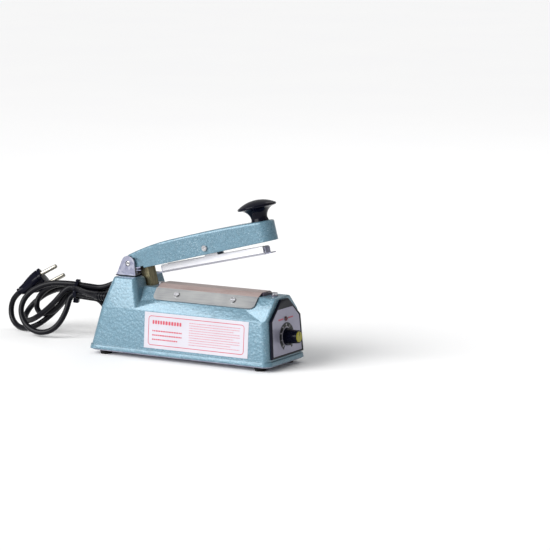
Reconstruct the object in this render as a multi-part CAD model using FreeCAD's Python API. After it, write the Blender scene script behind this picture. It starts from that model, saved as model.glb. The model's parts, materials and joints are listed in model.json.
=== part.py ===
"""Hand-operated impulse heat sealer for plastic bags.

Millimetres.  +X runs from the hinge towards the control panel, -Y is the front
(label side), +Z is up.  The origin is on the bench, under the middle of the sealer.
Every piece is written as its own STEP file in parts/.
"""
import FreeCAD
import Part
import math
import os

V = FreeCAD.Vector

# ---- driving dimensions ------------------------------------------------------------------
OVERALL_L = 216.0            # hinge end of the flange to the tip of the timer knob
BODY_L = 203.0               # length of the base flange
BODY_W = 72.0                # width of the base flange
FOOT_H = 4.3                 # rubber foot below the bottom cover
COVER_T = 1.2                # sheet bottom cover
FLANGE_T = 4.0
WALL = 3.0                   # cast wall
SELF_TAP_R = 1.3             # pilot hole of a self-tapping screw
OPEN_TILT = 14.5             # how far the arm stands open at rest, degrees
SEAL_L = 120.0               # length of the sealing line
CORD_D = 5.6

# ---- stations along X --------------------------------------------------------------------
X_HINGE_END = -OVERALL_L / 2
X_PANEL_END = X_HINGE_END + BODY_L
PIN_X = X_HINGE_END + 35.0
SEAL_X = PIN_X + 88.2        # middle of the sealing line
ARM_L = 159.0                # pin to the free end of the arm

# ---- levels along Z ----------------------------------------------------------------------
FLANGE_Z = FOOT_H + COVER_T
WALL_Z = FLANGE_Z + FLANGE_T
BEND_Z = 47.0                # where the upright side turns into the upper slope
TOP_Z = 67.0                 # flat top that carries the sealing strip
BLOCK_Z = 75.4               # top of the hinge block
PIN_Z = 87.8
STRIP_Z = TOP_Z + 3.1        # top of the heating base
JAW_Z = STRIP_Z + 0.4        # underside of the silicone strip when the arm is shut

# ---- half widths -------------------------------------------------------------------------
FLANGE_HALF = BODY_W / 2
WALL_HALF = 34.0             # at WALL_Z
BEND_HALF = 31.0             # at BEND_Z
TOP_HALF = 13.0              # at TOP_Z
BLOCK_HALF = 26.0            # hinge block at BLOCK_Z

# ---- casing ends: X at WALL_Z, BEND_Z and TOP_Z ------------------------------------------
HINGE_FACE_LOW = X_HINGE_END + 2.0
HINGE_FACE_BEND = X_HINGE_END + 12.0
PANEL_FACE_LOW = X_PANEL_END - 2.0
BLOCK_X0 = X_HINGE_END + 23.5   # top of the hinge block
BLOCK_X1 = X_HINGE_END + 48.7
PANEL_LEAN = 4.0             # the panel end leans back, degrees

# ---- sealing jaw -------------------------------------------------------------------------
JAW_HALF = 7.0               # heating base half width
JAW_X0 = SEAL_X - SEAL_L / 2
JAW_X1 = SEAL_X + SEAL_L / 2
PLATE_X0 = SEAL_X - 56.2     # side plates
PLATE_X1 = SEAL_X + 56.2
PLATE_DOWN = 14.6            # lower edge of a side plate, down the slope
PLATE_GAP = 0.35             # room for the cloth under it
PLATE_OUT = PLATE_GAP + 1.2
PLATE_SCREW_DOWN = 7.4
PLATE_SCREWS_X = (SEAL_X - 31.1, SEAL_X + 31.1)

# ---- hinge -------------------------------------------------------------------------------
PIN_R = 2.4
PIN_RUN = 0.05               # running clearance of the arm on its pin
EAR_T = 1.8
EAR_OUT = 16.5               # outer face of the bracket's ears
NECK_HALF = 13.4             # arm between the ears
NECK_DROP = 5.4              # underside of the neck below the pin's axis
GASKET_T = 1.0
PLATE_TOP_Z = BLOCK_Z + GASKET_T + EAR_T
SPRING_X = PIN_X + 2.6
SPRING_R = 2.75              # mean coil radius
SPRING_WIRE = 1.1
SPRING_SEAT_Z = 70.0
SPRING_ROOM = 1.05           # wall of its well beyond the mean coil radius
TONGUE_X0 = 6.3              # tongue, measured from the pin along the arm
TONGUE_X1 = 14.8
TONGUE_HALF = 6.2
TONGUE_END = -32.0
TONGUE_T = 1.2
RIVETS_X = TONGUE_X0 + 4.2
RIVETS_Y = (-2.45, 2.45)

# ---- arm section -------------------------------------------------------------------------
ARM_REAR_HALF = 17.0
ARM_FRONT_HALF = 11.5
ARM_WALL = 2.6
ARM_SIDE_GAP = 0.25          # play beside the tapered walls at the cross screw
ARM_BOTTOM = -7.2
ARM_BACK = (7.6, 12.1, 14.0, 11.9)   # its arched back at the heel, shoulder, crown and nose
ARM_TAPER_X = 40.0           # the sides draw in from here to the round nose
BAR_PIVOT = (88.2, -1.0)
KNOB_X = 145.5
KNOB_SEAT = 12.4             # spot face under the press knob

# ---- pressing bar, from the pin and level with the arm ------------------------------
BAR_X0 = BAR_PIVOT[0] - 57.5
BAR_X1 = BAR_PIVOT[0] + 57.5
BAR_HALF = 6.0
BAR_SHEET = 1.4
BAR_BOTTOM = JAW_Z - PIN_Z + 1.9
BAR_REST_TILT = 1.4          # it hangs this much flatter than the arm until it meets the strip
BAR_BORE_R = 1.75            # hole for the cross screw
STRIP_OVERHANG = 0.8

# ---- panel, measured up the end face from WALL_Z -----------------------------------------
PANEL_PROUD = 2.6
DIAL_OUTER_R = 13.4
DIAL_INNER_R = 8.9
KNOB_R = 6.7
KNOB_SKIRT = 2.2
LAMP_R = 2.3
KNOB_UP = 20.0
LAMP_UP = 37.0

# ---- front label, between these stations --------------------------------------------------
LABEL_X0 = X_HINGE_END + 64
LABEL_X1 = X_HINGE_END + 179

# ---- cord: from the gland to the tie, and from the hank round to the plug ----------------
GLAND_AT = V(X_HINGE_END + 11.2, 0, 50)
GLAND_OUT = 13.0
TIE_AT = V(-165.5, 32, 47.2)
TIE_ALONG = V(-27.8, -8, 3)  # the bundle's line through the tie, towards the plug
TIE_R = 8.9                  # bundle radius under the tie
LEAD_ROUTE = [V(-109.8, 0, 50), V(-121, 0.4, 50.2), V(-135, 5, 50.2), V(-150, 15.5, 50),
              V(-160.5, 24.5, 50)]
PLUG_ROUTE = [V(-198, 31, 18.5), V(-212, 28, 8), V(-227, 29.5, 3), V(-242, 35.5, 3.1),
              V(-252.5, 40, 10.5), V(-254.5, 42.5, 23), V(-248.5, 42, 33.5), V(-238, 39.5, 40)]
PLUG_AT = V(-238, 39.5, 40)
PLUG_L = 27.0
PLUG_ROLL = -45.0            # about its own length; the front edge is the upper one
PLUG_END_HALF = 12.8
PIN_SPREAD = 8.7             # from the plug's middle to each pin
PLUG_RISE = 28.0             # degrees above level
PLUG_YAW = 24.0              # degrees towards the back
# hank: x, y, z of the section's middle, half width, half height
HANK_SECTIONS = [(-72.5, 52.8, 25.5, 6, 10), (-80, 52.8, 26, 11.5, 21), (-95, 51, 29.5, 13, 27.3),
                 (-112, 49, 31, 11.5, 29.3), (-126, 45.8, 36, 9.8, 23), (-138, 42, 42.3, 9.2, 13.5),
                 (-150, 37, 45.6, 9, 9.2), (-165.5, 32, 47.2, 9, 9), (-178, 25, 38, 15.5, 18),
                 (-190, 27, 30, 20, 26), (-206, 29, 27, 22.5, 24.5), (-220, 33.5, 22.5, 22.5, 19.5),
                 (-232, 43.5, 20, 12, 15), (-240, 45, 19, 6, 8)]


# ---- shape helpers -----------------------------------------------------------------------
def block(x0, x1, y0, y1, z0, z1):
    return Part.makeBox(x1 - x0, y1 - y0, z1 - z0, V(x0, y0, z0))


def rod(radius, start, end):
    return Part.makeCylinder(radius, (end - start).Length, start, end - start)


def ring(outer, inner, start, end):
    return rod(outer, start, end).cut(rod(inner, start, end))


def prism(points, depth):
    """Extrude a closed polygon of vectors along the vector depth."""
    wire = Part.makePolygon(points + [points[0]])
    return Part.Face(wire).extrude(depth)


def prism_x(outline, x0, x1):
    """Extrude a (y, z) outline along X."""
    return prism([V(x0, y, z) for y, z in outline], V(x1 - x0, 0, 0))


def prism_y(outline, half):
    """Extrude an (x, z) outline along Y, the same both ways."""
    return prism([V(x, -half, z) for x, z in outline], V(0, 2 * half, 0))


def rounded_rectangle(x0, x1, half, z, radius):
    """Closed wire in the level plane z with four rounded corners."""
    corners = [(x1, half, 0), (x0, half, 90), (x0, -half, 180), (x1, -half, 270)]
    edges = []
    for x, y, start in corners:
        centre = V(x - math.copysign(radius, x - (x0 + x1) / 2), y - math.copysign(radius, y), z)
        circle = Part.Circle(centre, V(0, 0, 1), radius)
        edges.append(Part.Arc(circle, math.radians(start), math.radians(start + 90)).toShape())
    joined = []
    for index, edge in enumerate(edges):
        following = edges[(index + 1) % len(edges)]
        joined.append(edge)
        joined.append(Part.makeLine(edge.Vertexes[-1].Point, following.Vertexes[0].Point))
    return Part.Wire(joined)


def tapered(lower, upper):
    """Solid between two rounded rectangles, each (x0, x1, half, z, radius)."""
    return Part.makeLoft([rounded_rectangle(*lower), rounded_rectangle(*upper)], True, True)


def along_arc(points):
    """Edge through three (x, z) points in the plane y = 0."""
    return Part.Arc(*[V(x, 0, z) for x, z in points]).toShape()


def edges_where(shape, test):
    return [edge for edge in shape.Edges if test(edge)]


def pan_screw(at, out, head_r, head_h, shank_r, shank_l):
    """Slotted pan-head screw whose head stands on the point at and points along out."""
    top = at + out * head_h
    side = out.cross(V(1, 0, 0))
    screw = rod(head_r, at, top).fuse(rod(shank_r, at - out * shank_l, at))
    slot = Part.makeBox(2 * head_r, 0.9, head_h, V(-head_r, -0.45, 0))
    turn = FreeCAD.Rotation(V(1, 0, 0), side, out, "ZXY")
    slot.Placement = FreeCAD.Placement(at + out * head_h * 0.45, turn)
    return screw.cut(slot)


def open_arm(shape):
    """Carry a shape from the arm's level frame, pin at the origin, to the open rest pose."""
    shape.rotate(V(0, 0, 0), V(0, 1, 0), -OPEN_TILT)
    shape.translate(V(PIN_X, 0, PIN_Z))
    return shape


def on_panel(shape):
    """Carry a shape drawn against the plane x = 0, z up the face, onto the leaning end."""
    shape.rotate(V(0, 0, 0), V(0, 1, 0), -PANEL_LEAN)
    shape.translate(V(PANEL_FACE_LOW, 0, WALL_Z))
    return shape


def panel_face_x(z):
    return PANEL_FACE_LOW - (z - WALL_Z) * math.tan(math.radians(PANEL_LEAN))


def save(name, *solids):
    """Write one node: one solid, or a group of separate ones."""
    shape = solids[0] if len(solids) == 1 else Part.makeCompound(list(solids))
    for solid in shape.Solids:
        assert solid.isValid(), name
    shape.exportStep(os.path.join("parts", name + ".step"))
    print(name, len(shape.Solids), round(shape.Volume, 1))


# ---- base --------------------------------------------------------------------------------
def casing_shell(inset, low_z):
    """Outer skin of the casing, or its hollow when inset is the wall's thickness."""
    roof = TOP_Z - inset
    bend_x1 = panel_face_x(BEND_Z) - inset
    radius = 6.0 - inset
    bend_x0 = HINGE_FACE_BEND + inset
    bend_half = BEND_HALF - inset
    walls = tapered((HINGE_FACE_LOW + inset, PANEL_FACE_LOW - inset, WALL_HALF - inset, low_z,
                     radius), (bend_x0, bend_x1, bend_half, BEND_Z, radius))
    top_half = TOP_HALF - 0.6 * inset
    slope = prism_x([(-bend_half, BEND_Z), (-top_half, roof), (top_half, roof), (bend_half, BEND_Z)],
                    HINGE_FACE_BEND + 10, X_PANEL_END)
    lean_back = tapered((HINGE_FACE_BEND, bend_x1, bend_half, BEND_Z, radius),
                        (HINGE_FACE_BEND, panel_face_x(TOP_Z) - inset, bend_half, TOP_Z, radius))
    hinge = tapered((bend_x0, BLOCK_X1 + 7.3 - inset, bend_half, BEND_Z, radius),
                    (BLOCK_X0 + inset, BLOCK_X1 - inset, BLOCK_HALF - inset, BLOCK_Z - inset,
                     radius - 1))
    return walls.fuse(slope.common(lean_back)).fuse(hinge)


def soften_casting(casing):
    """Round the rim of the hinge block and the edges of the flat top."""
    rim = edges_where(casing, lambda edge: edge.BoundBox.ZMin > BLOCK_Z - 0.01)
    casing = casing.makeFillet(2.5, rim)
    tops = edges_where(casing, lambda edge: abs(edge.CenterOfMass.z - TOP_Z) < 0.1 and edge.Length > 25
                       and edge.BoundBox.XMax > PLATE_X1)
    return casing.makeFillet(1.6, tops)


def foot_boss(x, y):
    """Screw post in a corner of the casting, with a web to the side wall."""
    top = FLANGE_Z + 9
    low, high = sorted((y, math.copysign(WALL_HALF - WALL / 2, y)))
    web = block(x - WALL / 2, x + WALL / 2, low, high, FLANGE_Z, top)
    post = rod(4.5, V(x, y, FLANGE_Z), V(x, y, top))
    return post.fuse(web).cut(rod(SELF_TAP_R, V(x, y, FLANGE_Z - 1), V(x, y, top - 1)))


def housing_openings():
    """Slot for the tongue, well of the spring, gland hole and panel opening, as one tool."""
    slot = block(PIN_X + 5.6, PIN_X + 22.5, -8, 8, 58, PIN_Z)
    well = rod(SPRING_R + SPRING_ROOM, V(SPRING_X, 0, SPRING_SEAT_Z), V(SPRING_X, 0, PIN_Z))
    gland = rod(4.55, GLAND_AT + V(12, 0, 0), GLAND_AT - V(8, 0, 0))
    return slot.fuse([well, gland, on_panel(prism_x(panel_outline(3.2), -8, 8))])


def housing_screw_holes():
    holes = [rod(1.5, at, at - out * 12) for at, out in bracket_screw_places()]
    holes += [rod(SELF_TAP_R, at + out, at - out * 6) for at, out in side_screw_places()]
    holes += [rod(2.05, V(x, 0, TOP_Z - 6), V(x, 0, TOP_Z + 1)) for x in terminal_places()]
    return holes


def base_housing():
    flange = tapered((X_HINGE_END, X_PANEL_END, FLANGE_HALF, FLANGE_Z, 8),
                     (X_HINGE_END + 0.6, X_PANEL_END - 0.6, FLANGE_HALF - 0.6, WALL_Z, 8))
    outer = soften_casting(casing_shell(0, WALL_Z).removeSplitter()).fuse(flange)
    mouth = tapered((HINGE_FACE_LOW + WALL, PANEL_FACE_LOW - WALL, WALL_HALF - WALL, FLANGE_Z - 1, 3),
                    (HINGE_FACE_LOW + WALL, PANEL_FACE_LOW - WALL, WALL_HALF - WALL, WALL_Z, 3))
    housing = outer.cut(casing_shell(WALL, WALL_Z).fuse(mouth))
    bosses = [foot_boss(x, y) for x, y in foot_places()]
    spring_seat = block(PIN_X - 6, PIN_X + 9, -10, 10, 62, BLOCK_Z - WALL / 2)
    housing = housing.fuse(bosses + [spring_seat])
    return housing.cut([housing_openings()] + housing_screw_holes()).removeSplitter()


def bottom_cover():
    plate = tapered((X_HINGE_END + 2, X_PANEL_END - 2, FLANGE_HALF - 2, FOOT_H, 7),
                    (X_HINGE_END + 2, X_PANEL_END - 2, FLANGE_HALF - 2, FLANGE_Z, 7))
    for x, y in foot_places():
        plate = plate.cut(rod(1.8, V(x, y, 0), V(x, y, FLANGE_Z)))
    for index in range(6):
        x = X_HINGE_END + 70 + 8 * index
        plate = plate.cut(block(x, x + 3, 10, 24, 0, FLANGE_Z))
    return plate


def foot_places():
    return [(x, y) for x in (X_HINGE_END + 15, X_PANEL_END - 15) for y in (-25, 25)]


def rubber_foot(x, y):
    foot = Part.makeCone(5.4, 6.2, FOOT_H, V(x, y, 0))
    foot = foot.cut(rod(3.4, V(x, y, 0), V(x, y, 2.6)))
    return foot.cut(rod(1.8, V(x, y, 0), V(x, y, FOOT_H)))


def foot_screw(x, y):
    return pan_screw(V(x, y, 2.6), V(0, 0, -1), 2.9, 1.5, 1.3, 8.5)


# ---- control panel, drawn against x = 0 --------------------------------------------------
def panel_outline(inset):
    """Five-sided (y, z) outline of the black bezel, z up the face from the top of the flange."""
    shoulder = 37.8 - 0.4 * inset
    return [(-29 + inset, 2.2 + inset), (29 - inset, 2.2 + inset), (27.2 - inset, shoulder),
            (6.5 - 0.5 * inset, 55.5 - inset), (-6.5 + 0.5 * inset, 55.5 - inset), (-27.2 + inset, shoulder)]


def label_outline():
    return [(-26.6, 4.1), (26.6, 4.1), (25.2, 37.0), (14.2, 46.8), (-14.2, 46.8), (-25.2, 37.0)]


def panel_holes(x0, x1):
    shaft = rod(3.6, V(x0, 0, KNOB_UP), V(x1, 0, KNOB_UP))
    lamp = rod(2.4, V(x0, 0, LAMP_UP), V(x1, 0, LAMP_UP))
    return shaft.fuse(lamp)


def panel_bezel():
    plate = prism_x(panel_outline(0), 0.02, PANEL_PROUD)
    plug = prism_x(panel_outline(3.5), -6, 0.02).cut(prism_x(panel_outline(5.3), -7, 0))
    recess = prism_x(label_outline(), PANEL_PROUD - 0.8, PANEL_PROUD + 1)
    return on_panel(plate.fuse(plug).cut(recess).cut(panel_holes(-1, 5)))


def panel_label():
    plate = prism_x(label_outline(), PANEL_PROUD - 0.8, PANEL_PROUD - 0.4)
    return on_panel(plate.cut(panel_holes(0, 5)))


def dial_scale():
    start = V(PANEL_PROUD - 0.4, 0, KNOB_UP)
    return on_panel(ring(DIAL_OUTER_R, DIAL_INNER_R, start, start + V(0.2, 0, 0)))


def indicator_lamp():
    start = V(-6, 0, LAMP_UP)
    barrel = rod(LAMP_R, start, V(PANEL_PROUD + 0.2, 0, LAMP_UP))
    dome = Part.makeSphere(LAMP_R, V(PANEL_PROUD - 0.6, 0, LAMP_UP))
    return on_panel(barrel.fuse(dome))


def timer_knob():
    face = PANEL_PROUD + 0.1
    skirt = rod(8.3, V(face, 0, KNOB_UP), V(face + KNOB_SKIRT, 0, KNOB_UP))
    body = Part.makeCone(KNOB_R, 6.1, 10.4, V(face + KNOB_SKIRT, 0, KNOB_UP), V(1, 0, 0))
    knob = skirt.fuse(body)
    for index in range(12):
        angle = math.radians(30 * index)
        y = (KNOB_R + 0.2) * math.sin(angle)
        z = KNOB_UP + (KNOB_R + 0.2) * math.cos(angle)
        knob = knob.cut(rod(1.1, V(face + 3.4, y, z), V(face + 13, y, z)))
    knob = knob.cut(rod(5.1, V(face + 11.6, 0, KNOB_UP), V(face + 13, 0, KNOB_UP)))
    return on_panel(knob.cut(rod(3.05, V(face - 1, 0, KNOB_UP), V(face + 9, 0, KNOB_UP))))


def knob_cap():
    face = PANEL_PROUD + 11.7
    cap = rod(5.0, V(face, 0, KNOB_UP), V(face + 1.7, 0, KNOB_UP))
    rim = edges_where(cap, lambda edge: abs(edge.CenterOfMass.x - face - 1.7) < 0.01)
    return on_panel(cap.makeFillet(0.6, rim))


def timer_shaft():
    return on_panel(rod(3.0, V(-6.5, 0, KNOB_UP), V(PANEL_PROUD + 9.0, 0, KNOB_UP)))


def potentiometer():
    body = rod(8.5, V(-16, 0, KNOB_UP), V(-5.8, 0, KNOB_UP))
    bush = rod(3.5, V(-5.8, 0, KNOB_UP), V(-1.2, 0, KNOB_UP))
    return on_panel(body.fuse(bush).cut(rod(3.05, V(-7, 0, KNOB_UP), V(0, 0, KNOB_UP))))


def timer_board():
    board = block(-18.0, -16.4, -22, 22, 4, 40)
    return on_panel(board)


# ---- sealing strip on the base -----------------------------------------------------------
def heating_base():
    return block(JAW_X0 + 2.6, JAW_X1 - 2.6, -JAW_HALF, JAW_HALF, TOP_Z, STRIP_Z - 0.15)


def heating_wire():
    top = STRIP_Z - 0.15
    left, right = terminal_places()
    return block(left + 3.0, right - 3.0, -1.2, 1.2, top, top + 0.13)


def on_slope(down, out):
    """(y, z) of a point down the back slope from its top edge and out from its surface."""
    normal = slope_normal(1)
    return (TOP_HALF + down * normal.z + out * normal.y, TOP_Z - down * normal.y + out * normal.z)


def ptfe_cloth():
    """Thin cloth over the heating base, tucked under the side plates on both slopes."""
    under = [on_slope(11, 0.05), on_slope(1, 0.05), on_slope(0, 0.25), (JAW_HALF + 0.1, STRIP_Z)]
    over = [on_slope(11, 0.3), on_slope(1, 0.3), on_slope(0, 0.5), (JAW_HALF + 0.3, STRIP_Z + 0.2)]
    back = over + [(-y, z) for y, z in reversed(over)]
    front = [(-y, z) for y, z in under] + list(reversed(under))
    cloth = prism_x(back + front, JAW_X0 + 4, JAW_X1 - 4)
    for at, out in side_screw_places():
        cloth = cloth.cut(rod(1.7, at + out, at - out * 3))
    return cloth


def slope_frame(shape, side):
    """Carry a shape drawn on the plane z = 0, y up the slope from its top edge, onto one slope."""
    angle = math.degrees(math.atan2(TOP_Z - BEND_Z, BEND_HALF - TOP_HALF))
    shape.rotate(V(0, 0, 0), V(1, 0, 0), angle)
    shape.translate(V(0, -TOP_HALF, TOP_Z))
    if side > 0:
        shape.rotate(V(SEAL_X, 0, 0), V(0, 0, 1), 180)
    return shape


def side_plate(side):
    plate = block(PLATE_X0, PLATE_X1, -PLATE_DOWN, -1.1, PLATE_GAP, PLATE_OUT)
    low_corners = edges_where(plate, lambda edge: edge.CenterOfMass.y < -14 and edge.Length < 1.3)
    plate = plate.makeFillet(5.5, low_corners)
    for x in PLATE_SCREWS_X:
        plate = plate.cut(rod(1.7, V(x, -PLATE_SCREW_DOWN, 0), V(x, -PLATE_SCREW_DOWN, 2)))
    return slope_frame(plate, side)


def slope_normal(side):
    run = BEND_HALF - TOP_HALF
    drop = TOP_Z - BEND_Z
    length = math.hypot(run, drop)
    return V(0, side * drop / length, run / length)


def side_screw_places():
    """Screw seats on the outer faces of the side plates."""
    places = []
    for side in (-1, 1):
        out = slope_normal(side)
        down = V(0, side * out.z, -abs(out.y))
        for x in PLATE_SCREWS_X:
            edge = V(x, side * TOP_HALF, TOP_Z)
            places.append((edge + down * PLATE_SCREW_DOWN + out * PLATE_OUT, out))
    return places


def side_plate_screw(at, out):
    return pan_screw(at, out, 2.8, 1.6, 1.28, 6.5)


def terminal_places():
    return (JAW_X0 - 0.8, JAW_X1 + 5.2)


def terminal_insulator(x):
    bush = rod(3.1, V(x, 0, TOP_Z), V(x, 0, TOP_Z + 1.0))
    bush = bush.fuse(rod(2.0, V(x, 0, TOP_Z - WALL), V(x, 0, TOP_Z)))
    return bush.cut(rod(1.55, V(x, 0, TOP_Z - 6), V(x, 0, TOP_Z + 2)))


def terminal_washer(x):
    return ring(3.1, 1.55, V(x, 0, TOP_Z + 1.0), V(x, 0, TOP_Z + 1.7))


def terminal_screw(x):
    return pan_screw(V(x, 0, TOP_Z + 1.7), V(0, 0, 1), 2.9, 1.5, 1.5, 5.2)


# ---- hinge -------------------------------------------------------------------------------
def ear_outline(grow):
    """Closed wire of a bracket ear in the plane y = 0: straight foot, round top about the pin."""
    radius = 7.4 + grow
    foot_z = BLOCK_Z + GASKET_T
    lean = V(-13.0, 0, foot_z - PIN_Z)
    reach = math.hypot(lean.x, lean.z)
    turn = math.atan2(lean.z, lean.x) - math.acos(radius / reach)
    tangent = V(PIN_X + radius * math.cos(turn), 0, PIN_Z + radius * math.sin(turn))
    steep = math.radians(80)
    crown = V(PIN_X + radius * math.cos(steep), 0, PIN_Z + radius * math.sin(steep))
    front = V(PIN_X + radius, 0, PIN_Z)
    foot_front = V(PIN_X + 8.4, 0, foot_z)
    foot_rear = V(PIN_X + lean.x, 0, foot_z)
    return Part.Wire([Part.Arc(tangent, crown, front).toShape(), Part.makeLine(front, foot_front),
                      Part.makeLine(foot_front, foot_rear), Part.makeLine(foot_rear, tangent)])


def spring_hole():
    return rod(SPRING_R + SPRING_ROOM, V(SPRING_X, 0, BLOCK_Z), V(SPRING_X, 0, PLATE_TOP_Z + 1))


def hinge_bracket():
    ear = Part.Face(ear_outline(0)).extrude(V(0, EAR_T, 0))
    ears = ear.translated(V(0, -EAR_OUT, 0)).fuse(ear.translated(V(0, EAR_OUT - EAR_T, 0)))
    floor = block(PIN_X - 13.0, PIN_X + 8.4, -EAR_OUT, EAR_OUT, BLOCK_Z + GASKET_T, PLATE_TOP_Z)
    bracket = ears.fuse(floor)
    bracket = bracket.cut(block(PIN_X + 4.0, PIN_X + 10, -8, 8, BLOCK_Z, PLATE_TOP_Z + 1))
    bracket = bracket.cut(spring_hole())
    for at, out in bracket_screw_places():
        bracket = bracket.cut(rod(1.6, at, at - out * 4))
    return bracket.cut(rod(PIN_R, V(PIN_X, -20, PIN_Z), V(PIN_X, 20, PIN_Z)))


def bracket_gasket():
    top = BLOCK_Z + GASKET_T
    pad = block(PIN_X - 13.6, PIN_X + 9.0, -EAR_OUT - 0.5, EAR_OUT + 0.5, BLOCK_Z, top)
    pad = pad.cut(block(PIN_X + 4.0, PIN_X + 10, -8, 8, BLOCK_Z, top))
    pad = pad.cut(spring_hole())
    for at, out in bracket_screw_places():
        pad = pad.cut(rod(1.6, at, at - out * 4))
    return pad


def bracket_screw_places():
    return [(V(PIN_X - 8.6, y, PLATE_TOP_Z), V(0, 0, 1)) for y in (-8.5, 8.5)]


def bracket_screw(at, out):
    return pan_screw(at, out, 2.4, 1.2, 1.45, 10)


def hinge_pin():
    half = EAR_OUT - 0.3
    return rod(PIN_R, V(PIN_X, -half, PIN_Z), V(PIN_X, half, PIN_Z))


def pivot_washer(side):
    inner = side * (NECK_HALF + 0.1)
    outer = side * (EAR_OUT - EAR_T - 0.1)
    return ring(4.6, PIN_R + PIN_RUN, V(PIN_X, inner, PIN_Z), V(PIN_X, outer, PIN_Z))


def return_spring():
    """Close-wound compression spring between its seat and the underside of the arm's neck."""
    length = PIN_Z - NECK_DROP - 0.3 - SPRING_SEAT_Z - SPRING_WIRE
    helix = Part.makeHelix(2.75, length, SPRING_R)
    start = V(SPRING_R, 0, 0)
    section = Part.Wire(Part.Circle(start, V(0, 1, 0), SPRING_WIRE / 2).toShape())
    coil = Part.Wire(helix).makePipeShell([section], True, True)
    coil.translate(V(SPRING_X, 0, SPRING_SEAT_Z + SPRING_WIRE / 2 + 0.05))
    return coil


# ---- arm, drawn level with the pin at the origin -----------------------------------------
def arm_half(x):
    """Half width of the arm where its sides draw in."""
    share = (x - ARM_TAPER_X) / (ARM_L - ARM_FRONT_HALF - ARM_TAPER_X)
    return ARM_REAR_HALF - share * (ARM_REAR_HALF - ARM_FRONT_HALF)


def arm_side(top_drop, x0, x1, bottom):
    """Side view of the arm with its arched back, extruded wide, between two stations."""
    end = ARM_L + 1
    heel_z, shoulder_z, crown_z, nose_z = [z - top_drop for z in ARM_BACK]
    rise = along_arc([(0, heel_z), (26, shoulder_z), (60, crown_z)])
    crown = along_arc([(60, crown_z), (108, crown_z), (end, nose_z)])
    line = Part.Wire([rise, crown, Part.makeLine(V(end, 0, nose_z), V(end, 0, bottom)),
                      Part.makeLine(V(end, 0, bottom), V(0, 0, bottom)),
                      Part.makeLine(V(0, 0, bottom), V(0, 0, heel_z))])
    solid = Part.Face(line).extrude(V(0, 60, 0)).translated(V(0, -30, 0))
    return solid.common(block(x0, x1, -30, 30, -60, 60))


def arm_plan(inset):
    """Plan of the arm: parallel at the hinge, tapering to a round nose, as a tall prism."""
    rear = ARM_REAR_HALF - inset
    nose = ARM_FRONT_HALF - inset
    centre = ARM_L - ARM_FRONT_HALF
    front = [V(0, -rear, -30), V(ARM_TAPER_X, -rear, -30), V(centre, -nose, -30)]
    back = [V(x, -y, z) for x, y, z in reversed(front)]
    tip = Part.Arc(front[2], V(centre + nose, 0, -30), back[0]).toShape()
    edges = [Part.makeLine(front[0], front[1]), Part.makeLine(front[1], front[2]), tip,
             Part.makeLine(back[0], back[1]), Part.makeLine(back[1], back[2]),
             Part.makeLine(back[2], front[0])]
    return Part.Face(Part.Wire(edges)).extrude(V(0, 0, 60))


def ear_pocket(side):
    """Room beside the neck for one bracket ear."""
    y0, y1 = (NECK_HALF, 30) if side > 0 else (-30, -NECK_HALF)
    about_pin = rod(8.5, V(0, y0, 0), V(0, y1, 0))
    bay = rod(10.3, V(7, y0, -6), V(7, y1, -6))
    below = block(-12, 7, y0, y1, -12, 2)
    return about_pin.fuse(bay).fuse(below)


def arm_heel():
    """Narrow neck that turns between the ears."""
    hub = rod(NECK_DROP, V(0, -NECK_HALF, 0), V(0, NECK_HALF, 0))
    return hub.fuse(block(0, 16, -NECK_HALF, NECK_HALF, -NECK_DROP, 6.0))


def arm_holes():
    """Bores for the hinge pin, knob screw, cross screw and rivets."""
    pivot_x, pivot_z = BAR_PIVOT
    holes = [rod(PIN_R + PIN_RUN, V(0, -20, 0), V(0, 20, 0)),
             rod(2.15, V(KNOB_X, 0, 0), V(KNOB_X, 0, 20)),
             rod(BAR_BORE_R, V(pivot_x, -20, pivot_z), V(pivot_x, 20, pivot_z))]
    return holes + [rod(1.5, V(RIVETS_X, y, -8), V(RIVETS_X, y, 4)) for y in RIVETS_Y]


def lever_arm():
    body = arm_side(0, 0, ARM_L + 1, ARM_BOTTOM).common(arm_plan(0))
    top_edges = edges_where(body, lambda edge: edge.BoundBox.ZMin > 7.5 and edge.BoundBox.XLength > 8)
    body = body.makeFillet(2.2, top_edges)
    under_neck = block(-1, 17, -30, 30, -12, -NECK_DROP)
    body = body.cut([ear_pocket(-1), ear_pocket(1), under_neck]).fuse(arm_heel())
    body = body.cut(arm_side(3.2, 20, ARM_L - 3, -20).common(arm_plan(ARM_WALL)))
    knob_boss = rod(6.0, V(KNOB_X, 0, 4), V(KNOB_X, 0, 11))
    spot_face = rod(8.9, V(KNOB_X, 0, KNOB_SEAT), V(KNOB_X, 0, KNOB_SEAT + 6))
    body = body.fuse(knob_boss).cut([spot_face] + arm_holes())
    return open_arm(body.removeSplitter())


def arm_tongue():
    """Folded steel tongue: top flange under the neck, U section, stop lip at its foot."""
    top = -NECK_DROP
    web = block(TONGUE_X1 - TONGUE_T, TONGUE_X1, -TONGUE_HALF, TONGUE_HALF, TONGUE_END, top)
    walls = [block(TONGUE_X0, TONGUE_X1, y, y + TONGUE_T, TONGUE_END + 4, top)
             for y in (-TONGUE_HALF, TONGUE_HALF - TONGUE_T)]
    flange = block(TONGUE_X0, TONGUE_X1, -TONGUE_HALF, TONGUE_HALF, top - TONGUE_T, top)
    lip_half = TONGUE_HALF - 1
    lip = block(TONGUE_X1, TONGUE_X1 + 2.6, -lip_half, lip_half, TONGUE_END, TONGUE_END + TONGUE_T)
    tongue = web.fuse(walls[0]).fuse(walls[1]).fuse(flange).fuse(lip)
    for y in RIVETS_Y:
        tongue = tongue.cut(rod(1.6, V(RIVETS_X, y, -8), V(RIVETS_X, y, 0)))
    return open_arm(tongue.removeSplitter())


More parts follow.
